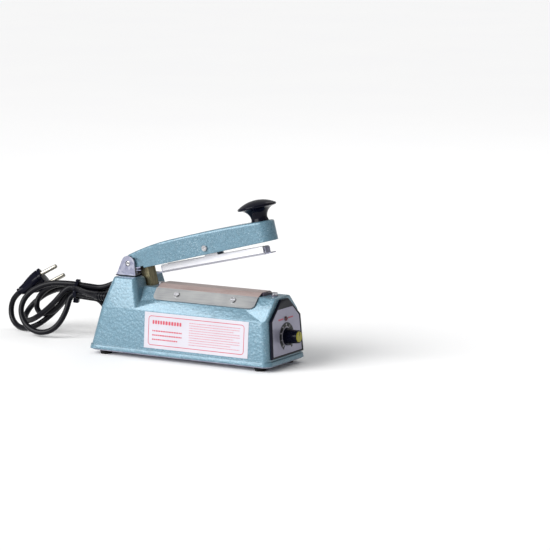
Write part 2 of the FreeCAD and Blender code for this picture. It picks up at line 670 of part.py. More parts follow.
def tongue_rivet(y):
    at = V(RIVETS_X, y, -NECK_DROP - TONGUE_T)
    return open_arm(rod(1.45, at, at + V(0, 0, 9.5)).fuse(rod(2.3, at - V(0, 0, 1.0), at)))


def press_knob():
    """Mushroom knob turned about its own axis, standing on a spot face of the arm."""
    foot = KNOB_SEAT
    neck = [V(0, 0, foot), V(8.6, 0, foot), V(7.7, 0, foot + 3)]
    lower_rim = V(17.4, 0, foot + 12.8)
    upper_rim = V(17.6, 0, foot + 15.5)
    flare = Part.Arc(neck[2], V(9.6, 0, foot + 8.5), lower_rim).toShape()
    rim = Part.Arc(lower_rim, V(18.6, 0, foot + 14.1), upper_rim).toShape()
    apex = foot + 20.6
    rise = apex - upper_rim.z
    radius = (upper_rim.x ** 2 + rise ** 2) / (2 * rise)
    half_way = math.asin(upper_rim.x / radius) / 2
    middle = V(radius * math.sin(half_way), 0, apex - radius + radius * math.cos(half_way))
    dome = Part.Arc(upper_rim, middle, V(0, 0, apex)).toShape()
    edges = [Part.makeLine(neck[0], neck[1]), Part.makeLine(neck[1], neck[2]), flare, rim, dome,
             Part.makeLine(V(0, 0, apex), neck[0])]
    knob = Part.Face(Part.Wire(edges)).revolve(V(0, 0, 0), V(0, 0, 1), 360)
    knob.translate(V(KNOB_X, 0, 0))
    if knob.Volume < 0:
        knob.reverse()
    return open_arm(knob.cut(rod(2.2, V(KNOB_X, 0, foot - 1), V(KNOB_X, 0, foot + 12))))


def knob_screw():
    at = V(KNOB_X, 0, 4)
    return open_arm(pan_screw(at, V(0, 0, -1), 3.6, 2.2, 2.1, 20.1))


# ---- pressing bar, drawn level with the pin at the origin --------------------------------
def hang_bar(shape):
    """Tip a shape on the bar about the bar's cross screw, then open the arm."""
    shape.rotate(V(BAR_PIVOT[0], 0, BAR_PIVOT[1]), V(0, 1, 0), BAR_REST_TILT)
    return open_arm(shape)


def bar_cheeks():
    """Two upstands of the bar that take the cross screw."""
    pivot_x, pivot_z = BAR_PIVOT
    outline = [(pivot_x - 9, BAR_BOTTOM), (pivot_x + 9, BAR_BOTTOM), (pivot_x + 4, pivot_z + 3.6),
               (pivot_x - 4, pivot_z + 3.6)]
    return prism_y(outline, BAR_HALF)


def press_bar():
    pivot_x, pivot_z = BAR_PIVOT
    inner = BAR_HALF - BAR_SHEET
    channel = block(BAR_X0, BAR_X1, -BAR_HALF, BAR_HALF, BAR_BOTTOM, -9.4).fuse(bar_cheeks())
    hollow = block(BAR_X0 - 1, BAR_X1 + 1, -inner, inner, BAR_BOTTOM + 1.6, 10)
    bore = rod(BAR_BORE_R, V(pivot_x, -10, pivot_z), V(pivot_x, 10, pivot_z))
    bar = channel.cut([hollow, bore])
    for x in clamp_places():
        bar = bar.cut(rod(1.1, V(x, 0, BAR_BOTTOM - 1), V(x, 0, BAR_BOTTOM + 3)))
    return hang_bar(bar.removeSplitter())


def clamp_places():
    return (BAR_X0 + 3.2, BAR_X1 - 3.2)


def silicone_strip():
    return hang_bar(block(BAR_X0 - STRIP_OVERHANG, BAR_X1 + STRIP_OVERHANG, -5.2, 5.2,
                          JAW_Z - PIN_Z, BAR_BOTTOM))


def strip_clamp(end):
    """Bent sheet clip that folds round one end of the bar and nips the strip."""
    face = BAR_X0 - STRIP_OVERHANG if end < 0 else BAR_X1 + STRIP_OVERHANG
    low = JAW_Z - PIN_Z + 0.3
    x0, x1 = sorted((face, face + end))
    wall = block(x0, x1, -4.4, 4.4, low, -10.4)
    x0, x1 = sorted((face + end, face + end * 6.4))
    tab = block(x0, x1, -4.4, 4.4, low, low + 1)
    return hang_bar(wall.fuse(tab))


def clamp_screw(x):
    at = V(x, 0, BAR_BOTTOM + 1.6)
    return hang_bar(pan_screw(at, V(0, 0, 1), 2.0, 1.1, 1.05, 1.5))


def bar_pivot_screw():
    """Cross screw: head outside the front wall, shank through the bar to the back wall."""
    pivot = V(BAR_PIVOT[0], 0, BAR_PIVOT[1])
    half = arm_half(BAR_PIVOT[0]) + ARM_SIDE_GAP
    return open_arm(pan_screw(pivot - V(0, half, 0), V(0, -1, 0), 2.7, 1.4, 1.7, 2 * half + 3.4))


def bar_pivot_nut():
    at = V(BAR_PIVOT[0], arm_half(BAR_PIVOT[0]) + ARM_SIDE_GAP, BAR_PIVOT[1])
    turns = [math.radians(60 * k) for k in range(6)]
    corners = [at + V(3.2 * math.cos(turn), 0, 3.2 * math.sin(turn)) for turn in turns]
    nut = prism(corners, V(0, 2.4, 0))
    return open_arm(nut.cut(rod(1.7, at, at + V(0, 3, 0))))


def bar_spacer(side):
    """Sleeve on the cross screw between the bar's cheek and the arm's wall."""
    pivot = V(BAR_PIVOT[0], 0, BAR_PIVOT[1])
    inner = V(0, side * (BAR_HALF + 0.15), 0)
    outer = V(0, side * (arm_half(BAR_PIVOT[0]) - ARM_WALL - ARM_SIDE_GAP), 0)
    return open_arm(ring(3.0, BAR_BORE_R, pivot + inner, pivot + outer))


# ---- electrical parts inside the base ----------------------------------------------------
def transformer_core():
    core = block(-30, 14, -18, 18, FLANGE_Z + 0.2, 44)
    return core.cut(block(-31, 15, -11, -4.5, 16, 36)).cut(block(-31, 15, 4.5, 11, 16, 36))


def transformer_coil():
    outer = block(-36, 20, -10.8, 10.8, 16.2, 35.8)
    limb = block(-30, 14, -4.5, 4.5, 15, 37)
    return outer.cut(limb)


def microswitch():
    body = block(PIN_X - 5, PIN_X + 5, -9.9, 9.9, 55.6, 62)
    return body.cut(rod(1.55, V(PIN_X + 1.2, 0, 59.5), V(PIN_X + 6, 0, 59.5)))


def switch_plunger():
    return rod(1.5, V(PIN_X + 2.6, 0, 59.5), V(PIN_X + 7.3, 0, 59.5))


def inner_wire(points):
    """Single insulated wire with straight runs and round corners."""
    return cord_tube([V(*point) for point in points], 1.8)


def inner_wires():
    routes = [[(-86, 3, 50), (-70, 6, 46), (-52, 12, 40), (-36.8, 9, 30)],
              [(20.8, 6, 28), (38, 12, 34), (58, 14, 40), (71.6, 12, 41)],
              [(20.8, -6, 28), (38, -14, 30), (58, -15, 36), (71.6, -14, 39)]]
    return [inner_wire(route) for route in routes]


# ---- front label -------------------------------------------------------------------------
def front_label():
    lean = math.degrees(math.atan2(WALL_HALF - BEND_HALF, BEND_Z - WALL_Z))
    sheet = block(LABEL_X0, LABEL_X1, -0.22, -0.02, 2.2, 36.6)
    sheet.rotate(V(0, 0, 0), V(1, 0, 0), -lean)
    return sheet.translated(V(0, -WALL_HALF, WALL_Z))


# ---- cord --------------------------------------------------------------------------------
def cord_path(route, report):
    """Straight runs joined by tangent arcs as large as the runs allow."""
    edges = []
    here = route[0]
    for before, corner, after in zip(route, route[1:], route[2:]):
        back = (before - corner).normalize()
        ahead = (after - corner).normalize()
        turn = math.pi - back.getAngle(ahead)
        shorter = min((before - corner).Length, (after - corner).Length)
        radius = 0.45 * shorter / math.tan(turn / 2)
        reach = 0.45 * shorter
        start = corner + back * reach
        end = corner + ahead * reach
        bisector = (back + ahead).normalize()
        middle = corner + bisector * (radius / math.cos(turn / 2) - radius)
        edges.append(Part.LineSegment(here, start).toShape())
        edges.append(Part.Arc(start, middle, end).toShape())
        here = end
        if report:
            print("  turn", round(math.degrees(turn), 1), "radius", round(radius, 1))
    edges.append(Part.LineSegment(here, route[-1]).toShape())
    return Part.Wire(edges)


def cord_tube(route, diameter, report=False):
    path = cord_path(route, report)
    direction = route[1] - route[0]
    section = Part.Wire(Part.Circle(route[0], direction, diameter / 2).toShape())
    tube = path.makePipeShell([section], True, False)
    if report:
        ideal = math.pi * diameter ** 2 / 4 * path.Length
        print("  length", round(path.Length, 1), "volume ratio", round(tube.Volume / ideal, 4))
    return tube


def cord_gland():
    """Moulded strain relief: flange inside the wall, ribbed sleeve outside."""
    at = GLAND_AT
    out = V(-1, 0, 0)
    sleeve = Part.makeCone(5.8, 4.1, GLAND_OUT, at, out)
    neck = rod(4.5, at, at - out * 8.5)
    collar = rod(6.2, at - out * 10.3, at - out * 8.5)
    gland = sleeve.fuse(neck).fuse(collar)
    for index in range(3):
        start = at + out * (3.4 + 3.0 * index)
        gland = gland.cut(ring(8, 4.0, start, start + out * 1.2))
    return gland.cut(rod(CORD_D / 2, at - out * 12, at + out * GLAND_OUT))


def ellipse_wire(x, y, z, half_width, half_height):
    wide = half_width >= half_height
    major, minor = (half_width, half_height) if wide else (half_height, half_width)
    ellipse = Part.Ellipse(V(0, 0, 0), major, minor)
    edge = ellipse.toShape()
    edge.rotate(V(0, 0, 0), V(0, 1, 0), 90)
    if wide:
        edge.rotate(V(0, 0, 0), V(1, 0, 0), 90)
    edge.translate(V(x, y, z))
    return Part.Wire(edge)


def cord_hank():
    return Part.makeLoft([ellipse_wire(*section) for section in HANK_SECTIONS], True, False)


def cable_tie():
    """Nylon band round the bundle, its head below."""
    along = V(TIE_ALONG).normalize()
    down = V(0, 0, -1) - along * V(0, 0, -1).dot(along)
    down.normalize()
    across = down.cross(along)
    half = along * 2
    band = ring(TIE_R + 1.2, TIE_R, TIE_AT - half, TIE_AT + half)
    head = block(-2.6, 2.6, -3, 3, 0, 3.6)
    place = FreeCAD.Matrix(along.x, across.x, down.x, 0, along.y, across.y, down.y, 0,
                           along.z, across.z, down.z, 0, 0, 0, 0, 1)
    head = head.transformGeometry(place)
    head.translate(TIE_AT + down * (TIE_R + 0.6))
    return band.fuse(head)


def plug_frame(shape):
    """Carry a plug drawn along +X from its cord end at the origin to where the plug lies."""
    shape.rotate(V(0, 0, 0), V(1, 0, 0), PLUG_ROLL)
    shape.rotate(V(0, 0, 0), V(0, 1, 0), -PLUG_RISE)
    shape.rotate(V(0, 0, 0), V(0, 0, 1), PLUG_YAW)
    shape.translate(PLUG_AT)
    return shape


def plug_body():
    rear = rounded_section(0, 4.6, 4.6, 4.0)
    middle = rounded_section(11, 8.6, 6.4, 5.0)
    front = rounded_section(PLUG_L, PLUG_END_HALF, 7.0, 5.0)
    return plug_frame(Part.makeLoft([rear, middle, front], True, True))


def rounded_section(x, half_y, half_z, radius):
    wire = rounded_rectangle(-half_z, half_z, half_y, 0, radius)
    wire.rotate(V(0, 0, 0), V(0, 1, 0), 90)
    wire.translate(V(x, 0, 0))
    return wire


def plug_pin(y):
    return plug_frame(rod(2.1, V(PLUG_L, y, 0), V(PLUG_L + 18, y, 0)))


# ---- write the nodes ---------------------------------------------------------------------
def main():
    os.makedirs("parts", exist_ok=True)
    save("base_housing", base_housing())
    save("bottom_cover", bottom_cover())
    save("rubber_feet", *[rubber_foot(x, y) for x, y in foot_places()])
    save("foot_screws", *[foot_screw(x, y) for x, y in foot_places()])
    save("panel_bezel", panel_bezel())
    save("panel_label", panel_label())
    save("dial_scale", dial_scale())
    save("indicator_lamp", indicator_lamp())
    save("timer_knob", timer_knob())
    save("knob_cap", knob_cap())
    save("timer_shaft", timer_shaft())
    save("potentiometer", potentiometer())
    save("timer_board", timer_board())
    save("heating_base", heating_base())
    save("heating_wire", heating_wire())
    save("ptfe_cloth", ptfe_cloth())
    save("side_plate_front", side_plate(-1))
    save("side_plate_back", side_plate(1))
    save("side_plate_screws", *[side_plate_screw(at, out) for at, out in side_screw_places()])
    save("terminal_insulators", *[terminal_insulator(x) for x in terminal_places()])
    save("terminal_washers", *[terminal_washer(x) for x in terminal_places()])
    save("terminal_screws", *[terminal_screw(x) for x in terminal_places()])
    save("hinge_bracket", hinge_bracket())
    save("bracket_gasket", bracket_gasket())
    save("bracket_screws", *[bracket_screw(at, out) for at, out in bracket_screw_places()])
    save("hinge_pin", hinge_pin())
    save("pivot_washers", pivot_washer(-1), pivot_washer(1))
    save("return_spring", return_spring())
    save("lever_arm", lever_arm())
    save("arm_tongue", arm_tongue())
    save("tongue_rivets", *[tongue_rivet(y) for y in RIVETS_Y])
    save("press_knob", press_knob())
    save("knob_screw", knob_screw())
    save("press_bar", press_bar())
    save("silicone_strip", silicone_strip())
    save("strip_clamps", strip_clamp(-1), strip_clamp(1))
    save("clamp_screws", *[clamp_screw(x) for x in clamp_places()])
    save("bar_pivot_screw", bar_pivot_screw())
    save("bar_pivot_nut", bar_pivot_nut())
    save("bar_spacers", bar_spacer(-1), bar_spacer(1))
    save("transformer_core", transformer_core())
    save("transformer_coil", transformer_coil())
    save("microswitch", microswitch())
    save("switch_plunger", switch_plunger())
    save("inner_wires", *inner_wires())
    save("front_label", front_label())
    save("cord_gland", cord_gland())
    save("cord_lead", cord_tube(LEAD_ROUTE, CORD_D, True))
    save("cord_hank", cord_hank())
    save("cable_tie", cable_tie())
    save("plug_lead", cord_tube(PLUG_ROUTE, CORD_D, True))
    save("plug_body", plug_body())
    save("plug_pins", plug_pin(-PIN_SPREAD), plug_pin(PIN_SPREAD))


main()
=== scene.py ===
"""Visual model of a hand impulse heat sealer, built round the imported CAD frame."""
import json
import math
import random
import bmesh
import bpy
from mathutils import Matrix, Vector


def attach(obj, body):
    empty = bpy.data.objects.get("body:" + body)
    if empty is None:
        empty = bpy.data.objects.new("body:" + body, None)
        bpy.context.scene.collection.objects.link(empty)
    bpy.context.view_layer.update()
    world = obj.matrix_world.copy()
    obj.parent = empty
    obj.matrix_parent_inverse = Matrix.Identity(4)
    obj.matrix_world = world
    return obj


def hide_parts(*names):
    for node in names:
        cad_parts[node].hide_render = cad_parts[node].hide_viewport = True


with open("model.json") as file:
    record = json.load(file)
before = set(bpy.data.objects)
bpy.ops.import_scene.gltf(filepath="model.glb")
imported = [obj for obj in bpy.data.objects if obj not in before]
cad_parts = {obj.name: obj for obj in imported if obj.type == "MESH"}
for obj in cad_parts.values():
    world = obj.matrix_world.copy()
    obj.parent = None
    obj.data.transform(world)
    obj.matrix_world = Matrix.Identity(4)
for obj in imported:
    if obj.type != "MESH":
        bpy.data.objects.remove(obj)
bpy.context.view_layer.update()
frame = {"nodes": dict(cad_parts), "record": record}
NODES = frame["nodes"]
SCENE = bpy.context.scene
MM = 0.001


def mm(*values):
    return Vector(values) * MM


def link(obj):
    SCENE.collection.objects.link(obj)
    return obj


# ---- camera: long lens, 32 degrees round to the panel's side, slightly above ------------------------
VIEW_TURN = math.radians(32.2)
VIEW_RISE = math.radians(10.0)
VIEW_FAR = 2.554
LENS = 174.8
SENSOR = 36
AIM = mm(-13, 0, 40)
AIM_RIGHT = 0.0813                                # how far right of and above the aim the view centres
AIM_UP = 0.0383


def make_camera():
    back = Vector((math.sin(VIEW_TURN) * math.cos(VIEW_RISE),
                   -math.cos(VIEW_TURN) * math.cos(VIEW_RISE), math.sin(VIEW_RISE)))
    right = Vector((math.cos(VIEW_TURN), math.sin(VIEW_TURN), 0))
    up = back.cross(right)
    data = bpy.data.cameras.new("camera")
    data.sensor_width = SENSOR
    data.lens = LENS
    data.clip_start = 0.05
    data.clip_end = 60
    camera = link(bpy.data.objects.new("camera", data))
    camera.location = AIM + back * VIEW_FAR
    target = AIM + right * AIM_RIGHT + up * AIM_UP
    camera.rotation_euler = (target - camera.location).to_track_quat("-Z", "Y").to_euler()
    SCENE.camera = camera


make_camera()

# ---- cord: one line from the gland through three turns of the hank to the plug -----------------
CORD_D = 5.6 * MM
EXIT = mm(-109.8, 0, 50)
TIE_AT = mm(-165.5, 32, 47.2)
ALONG = Vector((-27.8, -8, 3)).normalized()       # along the bundle, towards the plug
FRONT = Vector((8, -27.8, 0)).normalized()        # across the bundle, towards the label side
UPWARD = ALONG.cross(FRONT).normalized()
STRAND_GAP = 5.7 * MM
LEFT_REACH = 9 * MM
SHORT_REACH = 5 * MM
RIGHT_REACH = 26 * MM
SHORT_PASS = 5                                    # the one strand that stops short at the plug's side
LOBE_STEPS = 8
ROUNDNESS = 1.4
LEAD = [EXIT, mm(-121, 0.4, 50.2), mm(-135, 5, 50.2), mm(-150, 15.5, 50)]
PLUG_END = [mm(-184, 34, 33), mm(-198, 31, 18.5), mm(-212, 28, 8), mm(-227, 29.5, 3),
            mm(-242, 35.5, 3.1), mm(-252.5, 40, 10.5), mm(-254.5, 42.5, 23),
            mm(-248.5, 42, 33.5), mm(-238, 39.5, 40)]
# The seven places of the bundle in the order the cord takes them: 0 is the middle, 1 the
# top, and 2 to 6 go round from there by the front.
PASSES = [2, 5, 6, 0, 1, 3, 4]
# Each open end of a turn: how far its tip lies from the bundle, and half its width.
PLUG_LOBES = [(mm(-65, 15, -35), mm(5, -14, -11)), (mm(-46, 7, -27), mm(-10, 8, 9)),
              (mm(-42, -16, -39), mm(-20, 4, 14))]
BODY_LOBES = [(mm(60, 18, -24), mm(-3, 2, -23)), (mm(66, 13, -28), mm(-3, 1, -24)),
              (mm(57, 8, -20.5), mm(4, 0, 24))]


def bundle_place(index):
    if index == 0:
        return TIE_AT.copy()
    turn = math.radians(90 - 60 * (index - 1))
    return TIE_AT + STRAND_GAP * (math.cos(turn) * FRONT + math.sin(turn) * UPWARD)


def lobe(start, end, tip, half):
    """Control points of one open end of a turn, from its first strand round to the second."""
    points = []
    for step in range(1, LOBE_STEPS):
        t = step / LOBE_STEPS
        swing = math.sin(math.pi * t) ** ROUNDNESS
        points.append(start.lerp(end, t) + tip * swing + half * math.sin(2 * math.pi * t))
    return points


def cord_points():
    points = list(LEAD)
    last = len(PASSES) - 1
    for n, index in enumerate(PASSES):
        at = bundle_place(index)
        left = at + ALONG * (SHORT_REACH if n == SHORT_PASS else LEFT_REACH)
        right = at - ALONG * RIGHT_REACH
        middle = at - ALONG * RIGHT_REACH / 2
        to_plug = n % 2 == 0
        if n == 0:
            points += [at, left]
        elif to_plug:
            points += [right, middle, left]
        else:
            points += [left, middle, right]
        if n == last:
            break
        after = bundle_place(PASSES[n + 1])
        if to_plug:
            points += lobe(left, after + ALONG * LEFT_REACH, *PLUG_LOBES[n // 2])
        else:
            points += lobe(right, after - ALONG * RIGHT_REACH, *BODY_LOBES[n // 2])
    return points + PLUG_END


def make_cord():
    curve = bpy.data.curves.new("mains_cord", "CURVE")
    curve.dimensions = "3D"
    curve.bevel_depth = CORD_D / 2
    curve.bevel_resolution = 8
    curve.resolution_u = 10
    points = cord_points()
    spline = curve.splines.new("NURBS")
    spline.points.add(len(points) - 1)
    for point, place in zip(spline.points, points):
        point.co = (*place, 1)
    spline.order_u = 3
    spline.use_endpoint_u = True
    return link(bpy.data.objects.new("mains_cord", curve))


def curve_length(obj):
    """Length of the cord's own centre line, read from the curve without its bevel."""
    bare = bpy.data.objects.new("bare", obj.data.copy())
    bare.data.bevel_depth = 0
    mesh = bpy.data.meshes.new_from_object(bare)
    line = [vertex.co.copy() for vertex in mesh.vertices]
    bpy.data.meshes.remove(mesh)
    bpy.data.curves.remove(bare.data)
    return sum((b - a).length for a, b in zip(line, line[1:]))


# ---- node material helpers -------------------------------------------------------------------
def srgb(red, green, blue):
    """Colour from 0-255 screen values."""
    return tuple((v / 255 / 12.92) if v / 255 <= 0.04045 else ((v / 255 + 0.055) / 1.055) ** 2.4
                 for v in (red, green, blue)) + (1.0,)


class Finish:
    """A material under construction: add nodes, then wire them into its shader."""

    def __init__(self, name, **sockets):
        self.material = bpy.data.materials.new(name)
        self.material.use_nodes = True
        self.tree = self.material.node_tree
        self.shader = self.tree.nodes["Principled BSDF"]
        self.place = self.node("ShaderNodeTexCoord").outputs["Object"]
        self.set(**sockets)

    def set(self, **sockets):
        for name, value in sockets.items():
            self.feed(self.shader.inputs[name.replace("_", " ")], value)

    def feed(self, socket, value):
        if isinstance(value, bpy.types.NodeSocket):
            self.tree.links.new(value, socket)
        else:
            socket.default_value = value

    def node(self, kind, settings=None, **inputs):
        made = self.tree.nodes.new(kind)
        for name, value in (settings or {}).items():
            setattr(made, name, value)
        for name, value in inputs.items():
            self.feed(made.inputs[name.replace("_", " ")], value)
        return made

    def stretched(self, x, y, z):
        return self.node("ShaderNodeMapping", Vector=self.place, Scale=(x, y, z)).outputs["Vector"]

    def noise(self, scale, detail=3.0, vector=None, distortion=0.0):
        return self.node("ShaderNodeTexNoise", Vector=vector or self.place, Scale=scale,
                         Detail=detail, Distortion=distortion).outputs["Fac"]

    def cells(self, scale, feature="F1", output="Distance"):
        return self.node("ShaderNodeTexVoronoi", {"feature": feature}, Vector=self.place,
                         Scale=scale).outputs[output]

    def waves(self, scale, direction, distortion=0.0):
        return self.node("ShaderNodeTexWave", {"bands_direction": direction}, Vector=self.place,
                         Scale=scale, Distortion=distortion, Detail_Scale=2.0).outputs["Fac"]

    def spread(self, value, low, high, to_low, to_high):
        return self.node("ShaderNodeMapRange", Value=value, From_Min=low, From_Max=high,
                         To_Min=to_low, To_Max=to_high).outputs["Result"]

    def sum(self, first, second, operation="ADD"):
        """Two values added, or put together by another Math operation."""
        made = self.tree.nodes.new("ShaderNodeMath")
        made.operation = operation
        self.feed(made.inputs[0], first)
        self.feed(made.inputs[1], second)
        return made.outputs[0]

    def ramp(self, value, stops):
        made = self.node("ShaderNodeValToRGB", Fac=value)
        marks = made.color_ramp.elements
        while len(marks) < len(stops):
            marks.new(0.5)
        for mark, (place, colour) in zip(marks, stops):
            mark.position = place
            mark.color = colour
        return made.outputs["Color"]

    def rounded(self, radius):
        """Normal with worn edges; radius in mm."""
        return self.node("ShaderNodeBevel", {"samples": 4}, Radius=radius * MM).outputs["Normal"]

    def bump(self, height, distance, strength=1.0, over=None):
        made = self.node("ShaderNodeBump", Height=height, Distance=distance, Strength=strength)
        if over is not None:
            self.feed(made.inputs["Normal"], over)
        return made.outputs["Normal"]


def shade(colour, factor):
    return tuple(min(1.0, channel * factor) for channel in colour[:3]) + (1.0,)


def hammertone():
    """Blue enamel that dries into small dimples with metallic flecks, their pale colour a painted
    glint.
    """
    f = Finish("hammertone_enamel", Metallic=0.2, Coat_Weight=0.3, Coat_Roughness=0.1)
    dimple = f.cells(430, "SMOOTH_F1")
    fleck = f.noise(1100, 2.0)
    patch = f.noise(45, 3.0)
    blue = srgb(90, 122, 138)
    tone = f.ramp(dimple, [(0.0, shade(blue, 1.16)), (0.5, blue), (0.9, shade(blue, 0.86))])
    # metallic flakes painted pale all over: a painted glint, lit the same from every side
    fleck_and_glint = f.spread(f.sum(fleck, f.spread(patch, 0.3, 0.7, -0.06, 0.03)), 0.6, 0.76, 0, 0.6)
    colour = f.node("ShaderNodeMixRGB", {"blend_type": "MIX"}, Fac=fleck_and_glint, Color1=tone,
                    Color2=srgb(186, 202, 214)).outputs["Color"]
    f.set(Base_Color=colour, Roughness=f.spread(fleck, 0.3, 0.7, 0.22, 0.4),
          Normal=f.bump(dimple, 0.00028, 0.8, f.bump(fleck, 0.00006, 0.5, f.rounded(1.3))))
    return f.material


def plastic(name, colour, light=1.35, rough=(0.22, 0.36), grain=900, depth=0.00002, glint=0.4):
    """Moulded plastic: faint mottling, a fine grain and handling marks in the gloss."""
    f = Finish(name, Specular_IOR_Level=glint)
    mottle = f.noise(70, 4.0, distortion=0.4)
    fine = f.noise(grain, 2.0)
    smear = f.noise(40, 5.0, f.stretched(1, 1, 5))
    f.set(Base_Color=f.ramp(mottle, [(0.3, colour), (0.75, shade(colour, light))]),
          Roughness=f.spread(smear, 0.3, 0.7, *rough), Normal=f.bump(fine, depth, 0.6))
    return f.material


def metal(name, colour, stain, rough=(0.2, 0.36), stretch=(1, 30, 30), scale=60, metallic=1.0):
    """Bare or plated metal: drawing lines along the part over a cloudy tarnish."""
    f = Finish(name, Metallic=metallic)
    lines = f.noise(scale, 4.0, f.stretched(*stretch))
    tarnish = f.noise(35, 5.0, distortion=0.6)
    both = f.sum(f.sum(lines, 0.5, "MULTIPLY"), f.sum(tarnish, 0.5, "MULTIPLY"))
    f.set(Base_Color=f.ramp(both, [(0.34, stain), (0.62, colour)]),
          Roughness=f.spread(both, 0.3, 0.7, *rough), Normal=f.bump(lines, 0.00002, 0.6))
    return f.material


def spangle_zinc(name):
    """Zinc plate with its crystal patches and a slightly lilac passivation."""
    f = Finish(name, Metallic=0.82)
    crystal = f.cells(330, output="Color")
    value = f.node("ShaderNodeSeparateColor", Color=crystal).outputs["Red"]
    soft = f.noise(60, 4.0)
    f.set(Base_Color=f.ramp(value, [(0.0, srgb(128, 130, 150)), (0.5, srgb(146, 148, 166)),
                                    (1.0, srgb(166, 168, 182))]),
          Roughness=f.spread(soft, 0.3, 0.7, 0.3, 0.46), Normal=f.bump(soft, 0.00006, 0.5))
    return f.material


def glass_cloth():
    """Tan PTFE-coated glass cloth: plain weave under a satin coating, browned along the wire."""
    f = Finish("ptfe_tan", Roughness=0.36, Sheen_Weight=0.1)
    warp = f.waves(1500, "X")
    weft = f.waves(1500, "Y")
    weave = f.sum(warp, weft, "MULTIPLY")
    stain = f.noise(50, 4.0, f.stretched(0.4, 2, 2))
    f.set(Base_Color=f.ramp(f.sum(f.sum(weave, 0.35, "MULTIPLY"), f.sum(stain, 0.65, "MULTIPLY")),
                            [(0.2, srgb(126, 108, 104)), (0.45, srgb(156, 138, 134)),
                             (0.75, srgb(176, 162, 158))]),
          Normal=f.bump(weave, 0.00004, 0.7))
    return f.material


def paper():
    """White label stock: cloudy, with faint fibres."""
    f = Finish("label_white", Roughness=0.42, Coat_Weight=0.1, Coat_Roughness=0.2)
    fibre = f.noise(800, 5.0, f.stretched(1, 1, 2))
    cloud = f.noise(30, 3.0)
    f.set(Base_Color=f.ramp(cloud, [(0.25, srgb(180, 177, 186)), (0.75, srgb(190, 188, 196))]),
          Normal=f.bump(fibre, 0.00001, 0.4))
    return f.material


def ink(name, colour):
    """Printing ink, a little uneven where it dried."""
    f = Finish(name, Roughness=0.5)
    dry = f.noise(1400, 3.0)
    f.set(Base_Color=f.ramp(dry, [(0.35, shade(colour, 1.15)), (0.65, colour)]),
          Normal=f.bump(dry, 0.000005, 0.5))
    return f.material


def rubbery(name, colour, scale=500, rough=(0.4, 0.62), glare=1.6):
    """Rubber or soft PVC: satin skin, fine pores, and random patches that vary the gloss and are
    lighter in colour as painted glare.
    """
    f = Finish(name, Specular_IOR_Level=0.16)
    pores = f.noise(scale, 4.0)
    glare_patches = f.noise(45, 5.0, distortion=0.5)
    # random patches painted lighter by the factor glare: a painted glare in the base colour
    f.set(Base_Color=f.ramp(glare_patches, [(0.35, colour), (0.8, shade(colour, glare))]),
          Roughness=f.spread(glare_patches, 0.3, 0.7, *rough), Normal=f.bump(pores, 0.00003, 0.6))
    return f.material


def lens():
    """Dark red lamp lens with facets under a gloss."""
    f = Finish("red_lens", Roughness=0.12, Transmission_Weight=0.35, IOR=1.5, Coat_Weight=0.6)
    facet = f.cells(900)
    f.set(Base_Color=f.ramp(facet, [(0.0, srgb(120, 16, 44)), (0.8, srgb(60, 6, 20))]),
          Normal=f.bump(facet, 0.00008, 0.5))
    return f.material


def laminate(name, dark, light, scale=240):
    """Pressed board or wrapped tape: layered lines and blotches."""
    f = Finish(name)
    layers = f.waves(scale, "Z", 1.5)
    blotch = f.noise(90, 4.0)
    both = f.sum(f.sum(layers, 0.4, "MULTIPLY"), f.sum(blotch, 0.6, "MULTIPLY"))
    f.set(Base_Color=f.ramp(both, [(0.25, dark), (0.7, light)]),
          Roughness=f.spread(blotch, 0.3, 0.7, 0.35, 0.55), Normal=f.bump(layers, 0.00004, 0.5))
    return f.material


def printed_plate():
    """Silver-grey printed plate, brushed lengthwise."""
    f = Finish("grey_print", Metallic=0.35)
    lines = f.noise(80, 3.0, f.stretched(1, 1, 40))
    cloud = f.noise(40, 3.0)
    f.set(Base_Color=f.ramp(cloud, [(0.3, srgb(134, 133, 150)), (0.75, srgb(156, 154, 172))]),
          Roughness=f.spread(lines, 0.3, 0.7, 0.3, 0.45), Normal=f.bump(lines, 0.00001, 0.4))
    return f.material


